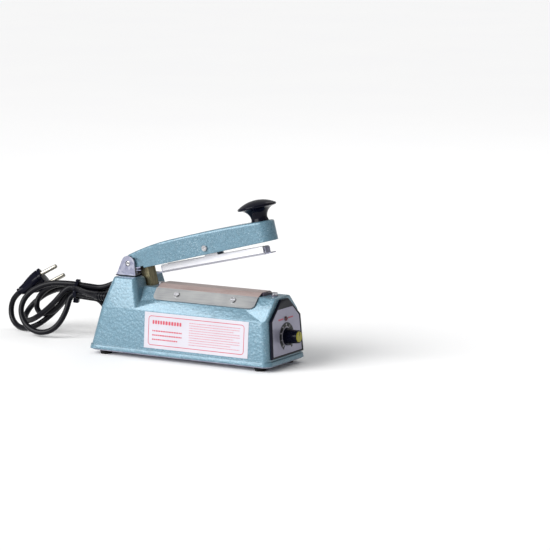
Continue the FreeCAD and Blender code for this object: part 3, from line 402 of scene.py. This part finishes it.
FINISHES = {
    "hammertone_enamel": hammertone(),
    "zinc_steel": spangle_zinc("zinc_steel"),
    "screw_steel": metal("screw_steel", srgb(198, 198, 200), srgb(140, 140, 146),
                         stretch=(1, 1, 6), scale=400),
    "spring_steel": metal("spring_steel", srgb(120, 118, 122), srgb(58, 56, 62), scale=300),
    "tongue_steel": metal("tongue_steel", srgb(150, 142, 112), srgb(44, 42, 34),
                          (0.22, 0.42), (1, 30, 1.5), 60),
    "bar_aluminium": metal("bar_aluminium", srgb(240, 240, 244), srgb(222, 222, 230),
                           (0.3, 0.42), (0.6, 30, 30), 60, metallic=0.15),
    "plate_aluminium": metal("plate_aluminium", srgb(166, 167, 166), srgb(138, 139, 143),
                             (0.28, 0.42), (0.5, 25, 25), 70, metallic=0.8),
    "pin_plated": metal("pin_plated", srgb(200, 196, 184), srgb(150, 146, 138), scale=150),
    "nichrome": metal("nichrome", srgb(150, 140, 130), srgb(80, 64, 58), scale=200),
    "iron_core": metal("iron_core", srgb(108, 104, 102), srgb(64, 58, 56), (0.4, 0.6),
                       (1, 90, 1), 90),
    "black_plastic": plastic("black_plastic", srgb(6, 7, 20), 1.4, (0.1, 0.2), glint=0.12),
    "matt_black": plastic("matt_black", srgb(9, 9, 12), 1.4, (0.4, 0.55), 600, 0.00003),
    "yellow_plastic": plastic("yellow_plastic", srgb(140, 134, 24), 1.25, (0.25, 0.4)),
    "nylon_white": plastic("nylon_white", srgb(214, 212, 204), 1.06, (0.35, 0.5)),
    "wire_white": plastic("wire_white", srgb(210, 208, 202), 1.08, (0.35, 0.5)),
    "silicone_grey": rubbery("silicone_grey", srgb(150, 150, 158), 700, (0.35, 0.5), 1.15),
    "rubber_black": rubbery("rubber_black", srgb(9, 9, 12)),
    "cord_black": rubbery("cord_black", srgb(7, 7, 13), 900, (0.22, 0.36), 1.6),
    "phenolic": laminate("phenolic", srgb(66, 56, 74), srgb(96, 84, 98)),
    "coil_tape": laminate("coil_tape", srgb(150, 128, 60), srgb(190, 170, 96), 400),
    "board_green": laminate("board_green", srgb(26, 74, 48), srgb(44, 104, 66), 120),
    "grey_print": printed_plate(),
    "red_lens": lens(),
    "ptfe_tan": glass_cloth(),
    "label_white": paper(),
}
RED_INK = ink("red_ink", srgb(176, 62, 80))
PALE_INK = ink("pale_ink", srgb(182, 118, 130))


def dress(obj, slot_name, material=None):
    """Give an object the finish of its slot, or another one."""
    obj.data.materials.clear()
    obj.data.materials.append(material or FINISHES[slot_name])


def dress_frame():
    for part in frame["record"]["subparts"]:
        dress(NODES[part["node"]], part["material_slot"])


dress_frame()


# ---- mesh helpers --------------------------------------------------------------------------------
def to_mesh(work, name):
    mesh = bpy.data.meshes.new(name)
    work.to_mesh(mesh)
    work.free()
    return mesh


def finished(name, mesh, slot_name, body, replaced=(), material=None, sharp=35):
    """Make a mesh a named piece: smooth shading, finish, body and the nodes it stands for."""
    obj = link(bpy.data.objects.new(name, mesh))
    mesh.shade_smooth()
    mesh.set_sharp_from_angle(angle=math.radians(sharp))
    dress(obj, slot_name, material)
    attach(obj, body)
    if replaced:
        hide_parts(*replaced)
    return obj


def joined(name, meshes, slot_name, body, replaced=(), sharp=35):
    """One piece made of several meshes."""
    work = bmesh.new()
    for mesh in meshes:
        work.from_mesh(mesh)
        bpy.data.meshes.remove(mesh)
    return finished(name, to_mesh(work, name), slot_name, body, replaced, sharp=sharp)


def loft(name, rings):
    """Closed skin through rings of points, with flat ends."""
    work = bmesh.new()
    rows = [[work.verts.new(point) for point in ring] for ring in rings]
    count = len(rows[0])
    for first, second in zip(rows, rows[1:]):
        for i in range(count):
            j = (i + 1) % count
            work.faces.new((first[i], first[j], second[j], second[i]))
    work.faces.new(rows[0][::-1])
    work.faces.new(rows[-1])
    bmesh.ops.recalc_face_normals(work, faces=work.faces)
    return to_mesh(work, name)


def lathe(name, profile, origin, axis, steps=64):
    """Turn a profile of (distance along the axis, radius) about an axis."""
    axis = axis.normalized()
    side = axis.orthogonal().normalized()
    other = axis.cross(side)
    rings = []
    for along, radius in profile:
        ring = []
        for i in range(steps):
            turn = 2 * math.pi * i / steps
            out = math.cos(turn) * side + math.sin(turn) * other
            ring.append(origin + axis * along * MM + out * radius * MM)
        rings.append(ring)
    return loft(name, rings)


# ---- housing and bezel: copies of the CAD shapes, with a bevel asked for on their outer edges --------
FLAT = math.radians(0.6)
SAME_PLACE = 1e-6
RIM_TOP = 9.5                                     # height of the flange's upper edge, in mm
RIM_SLACK = 0.05
RIM_TURN = 60                                     # least turn in degrees of an edge to be rounded
BEND_TURN = 25
CORNER_TURN = 40
BEND_LENGTH = 20                                  # least length in mm of an edge to be rounded
CORNER_LENGTH = 4
HOUSING_RADIUS = 1.5                              # asked for, but clamped away: see eased_copy
BEZEL_RADIUS = 0.45


def eased_copy(node, radius, chosen):
    """A copy of a CAD node with a bevel asked for along chosen outer edges; radius in mm.

    The bezel's bevel is real. On the housing clamp_overlap cuts it to a few microns, so that its
    shape stays sharp and only its finish makes the edges look rounded.
    """
    work = bmesh.new()
    work.from_mesh(NODES[node].data)
    work.transform(NODES[node].matrix_world)
    bmesh.ops.remove_doubles(work, verts=work.verts, dist=SAME_PLACE)
    bmesh.ops.dissolve_limit(work, angle_limit=FLAT, verts=work.verts, edges=work.edges)
    edges = [e for e in work.edges if len(e.link_faces) == 2 and e.is_convex and chosen(e)]
    bmesh.ops.bevel(work, geom=edges, offset=radius * MM, segments=4, profile=0.5, affect="EDGES",
                    clamp_overlap=True)
    return to_mesh(work, node + "_eased")


def long_bend(edge):
    """Long outer bends of the casting, and the rim of its flange all the way round."""
    turn = math.degrees(edge.calc_face_angle())
    on_rim = all(abs(v.co.z - RIM_TOP * MM) < RIM_SLACK * MM for v in edge.verts)
    return (on_rim and turn > RIM_TURN) or (turn > BEND_TURN and edge.calc_length() > BEND_LENGTH * MM)


def square_corner(edge):
    turn = math.degrees(edge.calc_face_angle())
    return turn > CORNER_TURN and edge.calc_length() > CORNER_LENGTH * MM


finished("housing_casting", eased_copy("base_housing", HOUSING_RADIUS, long_bend),
         "hammertone_enamel", "base", ["base_housing"], sharp=28)
finished("bezel_moulding", eased_copy("panel_bezel", BEZEL_RADIUS, square_corner),
         "black_plastic", "base", ["panel_bezel"], sharp=28)

# ---- cord pieces -----------------------------------------------------------------------------------
SLEEVE_AT = mm(-96.8, 0, 50)
SLEEVE_LENGTH = 26.0
SLEEVE_RIBS = 6


def sleeve_profile():
    """Collar inside the wall, then a ribbed taper outside it."""
    profile = [(-10.3, 2.9), (-10.3, 6.0), (-9.9, 6.2), (-8.9, 6.2), (-8.5, 6.0), (-8.5, 4.5), (0, 4.5),
               (0.3, 5.9), (1.8, 5.9)]
    first = 3.2
    pitch = (SLEEVE_LENGTH - 6) / SLEEVE_RIBS
    for rib in range(SLEEVE_RIBS):
        at = first + rib * pitch
        radius = 5.6 - 1.7 * rib / SLEEVE_RIBS
        profile += [(at - 0.5, radius), (at, radius - 0.8), (at + 0.9, radius - 0.85),
                    (at + 1.4, radius - 0.1)]
    return profile + [(SLEEVE_LENGTH - 0.8, 3.7), (SLEEVE_LENGTH - 0.1, 3.3), (SLEEVE_LENGTH, 2.8)]


def make_sleeve():
    mesh = lathe("strain_relief", sleeve_profile(), SLEEVE_AT, Vector((-1, 0, 0)))
    return finished("strain_relief", mesh, "cord_black", "base", ["cord_gland"])


PLUG_AT = mm(-238, 39.5, 40)
PLUG_RISE = math.radians(28)
PLUG_YAW = math.radians(24)
PLUG_ROLL = math.radians(-45)
PLUG_FRAME = (Matrix.Translation(PLUG_AT) @ Matrix.Rotation(PLUG_YAW, 4, "Z")
              @ Matrix.Rotation(-PLUG_RISE, 4, "Y") @ Matrix.Rotation(PLUG_ROLL, 4, "X"))
# along the plug, half width, half height, squareness
PLUG_SECTIONS = [(-5, 3.0, 3.0, 2), (-4.7, 3.5, 3.5, 2), (-3.4, 3.7, 3.7, 2), (-2.9, 3.3, 3.3, 2),
                 (-2.0, 3.3, 3.3, 2), (-1.6, 4.2, 4.2, 2), (0, 4.5, 4.4, 2.2),
                 (3, 5.2, 4.9, 2.6), (7, 6.9, 5.7, 3.2), (11, 8.6, 6.4, 3.6), (15, 10.2, 6.7, 4),
                 (19, 11.4, 6.85, 4.4), (22.4, 12.2, 6.9, 5), (22.8, 11.7, 6.4, 5),
                 (23.8, 11.7, 6.4, 5), (24.2, 12.5, 7.0, 5), (26.2, 12.8, 7.0, 5),
                 (26.8, 12.5, 6.7, 5), (27, 11.9, 6.1, 5)]
PLUG_STEPS = 72
GRIP = (7.0, 20.0)                                # where the grip recess starts and ends
GRIP_SHARE = 0.55
GRIP_KEEP = 0.84
PLUG_L = 27.0
PIN_SPREAD = 8.7
PIN_PROFILE = [(-1, 2.1), (16.5, 2.1), (17.2, 1.95), (17.8, 1.6), (18, 1.1)]


def plug_ring(along, half_y, half_z, square):
    ring = []
    for i in range(PLUG_STEPS):
        turn = 2 * math.pi * i / PLUG_STEPS
        c, s = math.cos(turn), math.sin(turn)
        y = math.copysign(abs(c) ** (2 / square), c) * half_y
        z = math.copysign(abs(s) ** (2 / square), s) * half_z
        if GRIP[0] < along < GRIP[1] and abs(y) < GRIP_SHARE * half_y:
            z *= GRIP_KEEP
        ring.append(PLUG_FRAME @ mm(along, y, z))
    return ring


def blended_sections(sections, finest):
    """The sections again with more between the far ones, so that the skin is smooth."""
    result = []
    for first, second in zip(sections, sections[1:]):
        steps = max(1, round((second[0] - first[0]) / finest))
        for k in range(steps):
            t = k / steps
            result.append(tuple(a + (b - a) * t for a, b in zip(first, second)))
    return result + [sections[-1]]


def make_plug():
    rings = [plug_ring(*section) for section in blended_sections(PLUG_SECTIONS, 1.0)]
    return finished("mains_plug", loft("mains_plug", rings), "black_plastic", "base", ["plug_body"])


def make_pins():
    axis = PLUG_FRAME.to_3x3() @ Vector((1, 0, 0))
    pins = [lathe("plug_pin", PIN_PROFILE, PLUG_FRAME @ mm(PLUG_L, y, 0), axis, 40)
            for y in (-PIN_SPREAD, PIN_SPREAD)]
    return joined("plug_pin_pair", pins, "pin_plated", "base", ["plug_pins"])


TIE_WIDTH = 3.4
TIE_THICK = 1.1


def tie_radius(turn):
    """Outline of the seven strands, pulled tight: six rounded corners."""
    corner = (math.degrees(turn) - 90) % 60
    off = min(corner, 60 - corner)
    return STRAND_GAP * math.cos(math.radians(off)) + CORD_D / 2 + 0.15 * MM


def tie_band():
    """Ridged band round the bundle."""
    steps = 72
    section = [(-0.5, 0.08), (-0.42, 0), (0.42, 0), (0.5, 0.08), (0.5, 0.85), (0.36, 1), (-0.36, 1),
               (-0.5, 0.85)]
    work = bmesh.new()
    rows = []
    for i in range(steps):
        turn = 2 * math.pi * i / steps
        out = math.cos(turn) * FRONT + math.sin(turn) * UPWARD
        ridge = 0.12 * MM * (i % 2)
        row = []
        for a, r in section:
            reach = tie_radius(turn) + r * TIE_THICK * MM + ridge * (r > 0.5)
            row.append(work.verts.new(TIE_AT + ALONG * (a * TIE_WIDTH * MM) + out * reach))
        rows.append(row)
    for first, second in zip(rows, rows[1:] + rows[:1]):
        for k in range(len(section)):
            m = (k + 1) % len(section)
            work.faces.new((first[k], first[m], second[m], second[k]))
    bmesh.ops.recalc_face_normals(work, faces=work.faces)
    return to_mesh(work, "tie_band")


def soft_box(half, place, turn, radius):
    """A box with rounded edges; half sizes and radius in mm."""
    work = bmesh.new()
    bmesh.ops.create_cube(work, size=2)
    bmesh.ops.scale(work, vec=mm(*half), verts=work.verts)
    bmesh.ops.bevel(work, geom=work.edges[:], offset=radius * MM, segments=3, affect="EDGES",
                    profile=0.5)
    bmesh.ops.transform(work, matrix=Matrix.Translation(place) @ turn.to_4x4(), verts=work.verts)
    return to_mesh(work, "soft_box")


def make_tie():
    turn = Matrix((ALONG, FRONT, UPWARD)).transposed()
    bundle = STRAND_GAP + CORD_D / 2
    low = TIE_AT - UPWARD * (bundle + 2.0 * MM)
    head = soft_box((2.6, 3.1, 2.1), low, turn, 0.7)
    tail = soft_box((1.3, 3.4, 0.55), low - UPWARD * 1.4 * MM - FRONT * 3.6 * MM, turn, 0.3)
    knuckle = soft_box((2.0, 2.3, 0.9), TIE_AT + UPWARD * (bundle + 1.4 * MM), turn, 0.5)
    return joined("cord_tie", [tie_band(), head, tail, knuckle], "black_plastic", "base",
                  ["cable_tie"])


cord = make_cord()
dress(cord, "cord_black")
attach(cord, "base")
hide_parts("cord_lead", "cord_hank", "plug_lead")
sleeve = make_sleeve()
plug = make_plug()
pins = make_pins()
tie = make_tie()
round(curve_length(cord), 3)


# ---- cloth over the heating base: one stretched sheet, its corners eased ---------------------------
TOP_HALF = 13.0
TOP_Z = 67.0
SLOPE_OUT = Vector((20, 18)).normalized()         # (y, z) normal of the back slope
CLOTH_X = (-40.8, 71.2)
CLOTH_THICK = 0.2
CLOTH_RIDGE = (7.3, 70.3)
CLOTH_STATIONS = 80
CLOTH_PUCKER = 0.07
CLOTH_EASE = 0.3


def on_slope(down, out):
    """(y, z) of a point down the back slope from its top edge and out from its surface."""
    return Vector((TOP_HALF + down * SLOPE_OUT.y + out * SLOPE_OUT.x,
                   TOP_Z - down * SLOPE_OUT.x + out * SLOPE_OUT.y))


def eased(corners, reach, steps=5):
    """A path through straight runs whose corners are rounded within reach of each."""
    path = [corners[0]]
    for before, corner, after in zip(corners, corners[1:], corners[2:]):
        start = corner + (before - corner).normalized() * reach
        end = corner + (after - corner).normalized() * reach
        for k in range(steps + 1):
            t = k / steps
            path.append(start * (1 - t) ** 2 + corner * 2 * t * (1 - t) + end * t ** 2)
    return path + [corners[-1]]


def cloth_ring(x):
    """Closed section of the cloth at one station, slightly puckered between strip and plates."""
    pucker = CLOTH_PUCKER * math.sin(1.7 * x) * math.sin(0.31 * x + 1)
    side = on_slope(0, 0.5).lerp(Vector(CLOTH_RIDGE), 0.5) + SLOPE_OUT * (pucker - CLOTH_PUCKER)
    half = [on_slope(11, 0.3), on_slope(1, 0.3), on_slope(0, 0.5), side, Vector(CLOTH_RIDGE)]
    corners = half + [Vector((-p.x, p.y)) for p in reversed(half)]
    outer = eased(corners, CLOTH_EASE)
    centre = Vector((0, TOP_Z - 20))
    inner = [p + (centre - p).normalized() * CLOTH_THICK for p in outer]
    return [mm(x, y, z) for y, z in outer + inner[::-1]]


def make_cloth():
    first, last = CLOTH_X
    rings = [cloth_ring(first + (last - first) * k / CLOTH_STATIONS)
             for k in range(CLOTH_STATIONS + 1)]
    cloth = finished("sealing_cloth", loft("sealing_cloth", rings), "ptfe_tan", "base",
                     ["ptfe_cloth"])


make_cloth()

# ---- hinge: a matt black ring as painted shadow in the gap round each end of the pin, and the pin's dished ends ---
HINGE_AT = (-73.0, 87.8)
EAR_OUT = 16.5
# thin matt black ring standing proud of the ear: a painted shadow for the dark gap round the pin
GAP_SHADOW_PROFILE = [(-0.25, 2.38), (-0.05, 2.4), (0.06, 2.48), (0.1, 2.62), (0.06, 2.76), (-0.25, 2.8)]
PIN_END_PROFILE = [(-0.6, 2.3), (-0.12, 2.3), (-0.02, 2.15), (0.0, 1.5), (-0.1, 1.1), (-0.35, 0.35)]


def hinge_ends(name, profile, slot_name):
    """The same turned piece on the outer face of both ears."""
    x, z = HINGE_AT
    ends = [lathe(name, profile, mm(x, side * EAR_OUT, z), Vector((0, side, 0)), 48)
            for side in (-1, 1)]
    return joined(name, ends, slot_name, "base")


# painted shadow of the gap round the pin, on both ears
hinge_ends("hinge_gap_shadow_rings", GAP_SHADOW_PROFILE, "matt_black")
hinge_ends("hinge_pin_ends", PIN_END_PROFILE, "screw_steel")

# ---- front label: plain ruled print, no words -----------------------------------------------------
WALL_LEAN = math.atan2(3.0, 37.5)
LABEL_X = (-44.0, 71.0)
LABEL_UP = (2.2, 36.6)
LABEL_FACE = 0.225                                # how far the label's face stands off the wall
WALL_FOOT = (-34, 9.5)                            # (y, z) of the front wall's lower edge
INK_THICK = 0.07


def on_front(x, up, out):
    """A point on the leaning front wall: x, distance up it from the flange, distance off it."""
    y, z = WALL_FOOT
    return mm(x, y - out * math.cos(WALL_LEAN) + up * math.sin(WALL_LEAN),
              z + out * math.sin(WALL_LEAN) + up * math.cos(WALL_LEAN))


def stroke_outline(x0, x1, up0, up1, radius, steps=6):
    """Rounded rectangle, counter-clockwise seen from the front."""
    corners = [(x1 - radius, up0 + radius, -90), (x1 - radius, up1 - radius, 0),
               (x0 + radius, up1 - radius, 90), (x0 + radius, up0 + radius, 180)]
    return [(cx + radius * math.cos(math.radians(start + 90 * k / steps)),
             cy + radius * math.sin(math.radians(start + 90 * k / steps)))
            for cx, cy, start in corners for k in range(steps + 1)]


def print_dash(work, place, x0, x1, up0, up1):
    radius = min(x1 - x0, up1 - up0) * 0.3
    outline = stroke_outline(x0, x1, up0, up1, radius, 2)
    low = [work.verts.new(place(x, up, 0)) for x, up in outline]
    top = [work.verts.new(place(x, up, INK_THICK)) for x, up in outline]
    close_slab(work, low, top)


def close_slab(work, low, top):
    count = len(low)
    work.faces.new(top)
    work.faces.new(low[::-1])
    for i in range(count):
        j = (i + 1) % count
        work.faces.new((low[i], low[j], top[j], top[i]))


def print_frame(work, place, x0, x1, up0, up1, radius, width):
    """A thin rounded border line."""
    outer = stroke_outline(x0, x1, up0, up1, radius)
    inner = stroke_outline(x0 + width, x1 - width, up0 + width, up1 - width, radius - width)
    rows = [[work.verts.new(place(x, up, out)) for x, up in outline]
            for outline, out in ((outer, 0), (outer, INK_THICK), (inner, INK_THICK), (inner, 0))]
    count = len(outer)
    for first, second in zip(rows, rows[1:] + rows[:1]):
        for i in range(count):
            j = (i + 1) % count
            work.faces.new((first[i], first[j], second[j], second[i]))


def print_lines(work, place, chance, x0, x1, top, pitch, height, rows, dash):
    """Rows of dashes of uneven length, standing for plain text."""
    for row in range(rows):
        up = top - row * pitch
        x = x0
        end = x1 - chance.uniform(0, 0.18) * (x1 - x0) * (row % 3 == 2)
        while x < end - dash[0]:
            length = min(chance.uniform(*dash), end - x)
            print_dash(work, place, x, x + length, up - height, up)
            x += length + dash[0] * 0.45


def ink_mesh(name, draw):
    work = bmesh.new()
    draw(work)
    bmesh.ops.recalc_face_normals(work, faces=work.faces)
    return to_mesh(work, name)


def on_label(x, up, out):
    return on_front(x, up, LABEL_FACE + out)


def label_print(work):
    """Border, title and three lines of data, all as dashes."""
    chance = random.Random(4)
    x0, x1 = LABEL_X
    low, high = LABEL_UP
    print_frame(work, on_label, x0 + 4.4, x1 - 4.4, low + 3.0, high - 3.2, 3.2, 0.62)
    print_lines(work, on_label, chance, x0 + 9, x0 + 43, high - 7.4, 5, 3.6, 1, (1.9, 2.5))
    print_lines(work, on_label, chance, x0 + 9, x0 + 42, high - 16.8, 4.1, 1.35, 3, (1.2, 2.4))


def small_print(work):
    x0, x1 = LABEL_X
    print_lines(work, on_label, random.Random(5), x0 + 50, x1 - 9, LABEL_UP[1] - 6.6, 2.28, 0.7, 10,
                (0.8, 2.6))


def make_label_print(name, draw, material):
    return finished(name, ink_mesh(name, draw), "label_white", "base", material=material)


make_label_print("label_print", label_print, RED_INK)
make_label_print("label_small_print", small_print, PALE_INK)

# ---- control panel: dial numerals, ring and gap, dashes by the lamp, pointer of the knob -------------
PANEL_LEAN = math.radians(4)
PANEL_FRAME = Matrix.Translation(mm(93, 0, 9.5)) @ Matrix.Rotation(-PANEL_LEAN, 4, "Y")
PANEL_FACE = 2.21
KNOB_UP = 20.0
LAMP_UP = 37.0
DIAL_FACE = 2.4
NUMERAL_R = 11.2
NUMERAL_SIZE = 3.0
NUMERAL_LAST = 8
DIAL_SWEEP = 270                                  # degrees from the first numeral to the last


def on_panel(out, y, up):
    return PANEL_FRAME @ mm(out, y, up)


def numeral_mesh(text, degrees):
    """A digit standing upright round the dial; the angle is from the top, clockwise as seen."""
    turn = math.radians(degrees)
    data = bpy.data.curves.new("numeral", "FONT")
    data.body = text
    data.size = NUMERAL_SIZE * MM
    data.align_x = "CENTER"
    data.align_y = "CENTER"
    data.extrude = 0.02 * MM
    data.offset = 0.05 * MM
    holder = bpy.data.objects.new("numeral", data)
    mesh = bpy.data.meshes.new_from_object(holder)
    bpy.data.objects.remove(holder)
    bpy.data.curves.remove(data)
    facing = Matrix(((0, 0, 1), (1, 0, 0), (0, 1, 0))).to_4x4()
    tilt = Matrix.Rotation(-turn, 4, "X")
    centre = mm(DIAL_FACE + 0.04, math.sin(turn) * NUMERAL_R, KNOB_UP + math.cos(turn) * NUMERAL_R)
    mesh.transform(PANEL_FRAME @ Matrix.Translation(centre) @ tilt @ facing)
    return mesh


def make_numerals():
    meshes = [numeral_mesh(str(n), -DIAL_SWEEP / 2 + DIAL_SWEEP / NUMERAL_LAST * n)
              for n in range(NUMERAL_LAST + 1)]
    return joined("dial_numerals", meshes, "label_white", "base", sharp=20)


def panel_sector(work, out, inner, outer, start, end, thick, steps):
    """A flat arc-shaped slab on the panel, angles from the top in degrees."""
    arc = [math.radians(start + (end - start) * k / steps) for k in range(steps + 1)]
    outline = ([(math.sin(a) * outer, KNOB_UP + math.cos(a) * outer) for a in arc]
               + [(math.sin(a) * inner, KNOB_UP + math.cos(a) * inner) for a in reversed(arc)])
    low = [work.verts.new(on_panel(out, y, up)) for y, up in outline]
    top = [work.verts.new(on_panel(out + thick, y, up)) for y, up in outline]
    close_slab(work, low, top)


def make_dial_gap():
    def draw(work):
        panel_sector(work, DIAL_FACE, 8.9, 13.5, 148, 212, 0.03, 16)
    return finished("dial_gap", ink_mesh("dial_gap", draw), "grey_print", "base")


def make_dial_ring():
    def draw(work):
        for start in (-146, 0):
            panel_sector(work, DIAL_FACE, 9.0, 9.45, start, start + 146, 0.04, 40)
    return finished("dial_ring", ink_mesh("dial_ring", draw), "label_white", "base")


def make_panel_marks():
    """Short dashes either side of the lamp, in place of its words."""
    def place(y, up, out):
        return on_panel(PANEL_FACE + out, y, up)

    def draw(work):
        chance = random.Random(9)
        print_lines(work, place, chance, -13.5, -4.6, LAMP_UP + 0.9, 3, 1.5, 1, (0.9, 1.4))
        print_lines(work, place, chance, 4.6, 13.5, LAMP_UP + 0.9, 3, 1.5, 1, (0.9, 1.4))
    return finished("panel_marks", ink_mesh("panel_marks", draw), "label_white", "base",
                    material=RED_INK)


POINTER_HALF = (0.12, 0.3, 1.8)
POINTER_UP = 2.6


def make_pointer():
    """Fine line on the yellow cap: the knob's 12 flutes look the same every 30 degrees."""
    origin = on_panel(0, 0, 0)
    out = (on_panel(1, 0, 0) - origin).normalized()
    up = (on_panel(0, 0, 1) - origin).normalized()
    face = max(v.co.dot(out) for v in NODES["knob_cap"].data.vertices)
    foot = on_panel(0, 0, KNOB_UP + POINTER_UP)
    place = foot + out * (face - foot.dot(out))
    turn = Matrix((out, up.cross(out), up)).transposed()
    mesh = soft_box(POINTER_HALF, place, turn, 0.08)
    return finished("knob_pointer", mesh, "black_plastic", "knob")


make_numerals()
make_dial_gap()
make_dial_ring()
make_panel_marks()
make_pointer()


# ---- stage: pale floor, soft studio light -----------------------------------------------------------
FLOOR_HALF = 14.0
SUN_POWER = 3.6
SUN_BREADTH = 50
SUN_TRAVEL = (0.4, 0.8, -0.48)
WORLD_STRENGTH = 0.42
LIGHT_AIM = (0, 0, 0.05)


def make_stage():
    mesh = bpy.data.meshes.new("floor")
    half = FLOOR_HALF
    mesh.from_pydata([(-half, -half, 0), (half, -half, 0), (half, half, 0), (-half, half, 0)], [],
                     [(0, 1, 2, 3)])
    floor = link(bpy.data.objects.new("floor", mesh))
    f = Finish("floor_paper", Roughness=0.9, Specular_IOR_Level=0.1)
    f.set(Base_Color=f.ramp(f.noise(3, 2.0), [(0.3, (0.975, 0.975, 0.98, 1)),
                                              (0.7, (0.985, 0.985, 0.985, 1))]))
    floor.data.materials.append(f.material)


def make_light(name, place, size, power):
    data = bpy.data.lights.new(name, "AREA")
    data.shape = "RECTANGLE"
    data.size, data.size_y = size
    data.energy = power
    light = link(bpy.data.objects.new(name, data))
    light.location = place
    light.rotation_euler = (Vector(LIGHT_AIM) - Vector(place)).to_track_quat("-Z", "Y").to_euler()


def make_sun():
    """A very broad sun, so that the floor is evenly white and the shadows are soft."""
    data = bpy.data.lights.new("sky_panel", "SUN")
    data.energy = SUN_POWER
    data.angle = math.radians(SUN_BREADTH)
    light = link(bpy.data.objects.new("sky_panel", data))
    light.rotation_euler = Vector(SUN_TRAVEL).to_track_quat("-Z", "Y").to_euler()


def make_world():
    world = bpy.data.worlds.new("studio")
    world.use_nodes = True
    back = world.node_tree.nodes["Background"]
    back.inputs["Color"].default_value = (1, 1, 1, 1)
    back.inputs["Strength"].default_value = WORLD_STRENGTH
    SCENE.world = world
    SCENE.view_settings.view_transform = "Standard"


make_stage()
make_world()
make_sun()
make_light("key", (-1.1, -1.3, 1.5), (1.2, 1.0), 5)
make_light("rim", (0.3, 1.2, 1.2), (1.6, 0.6), 4)
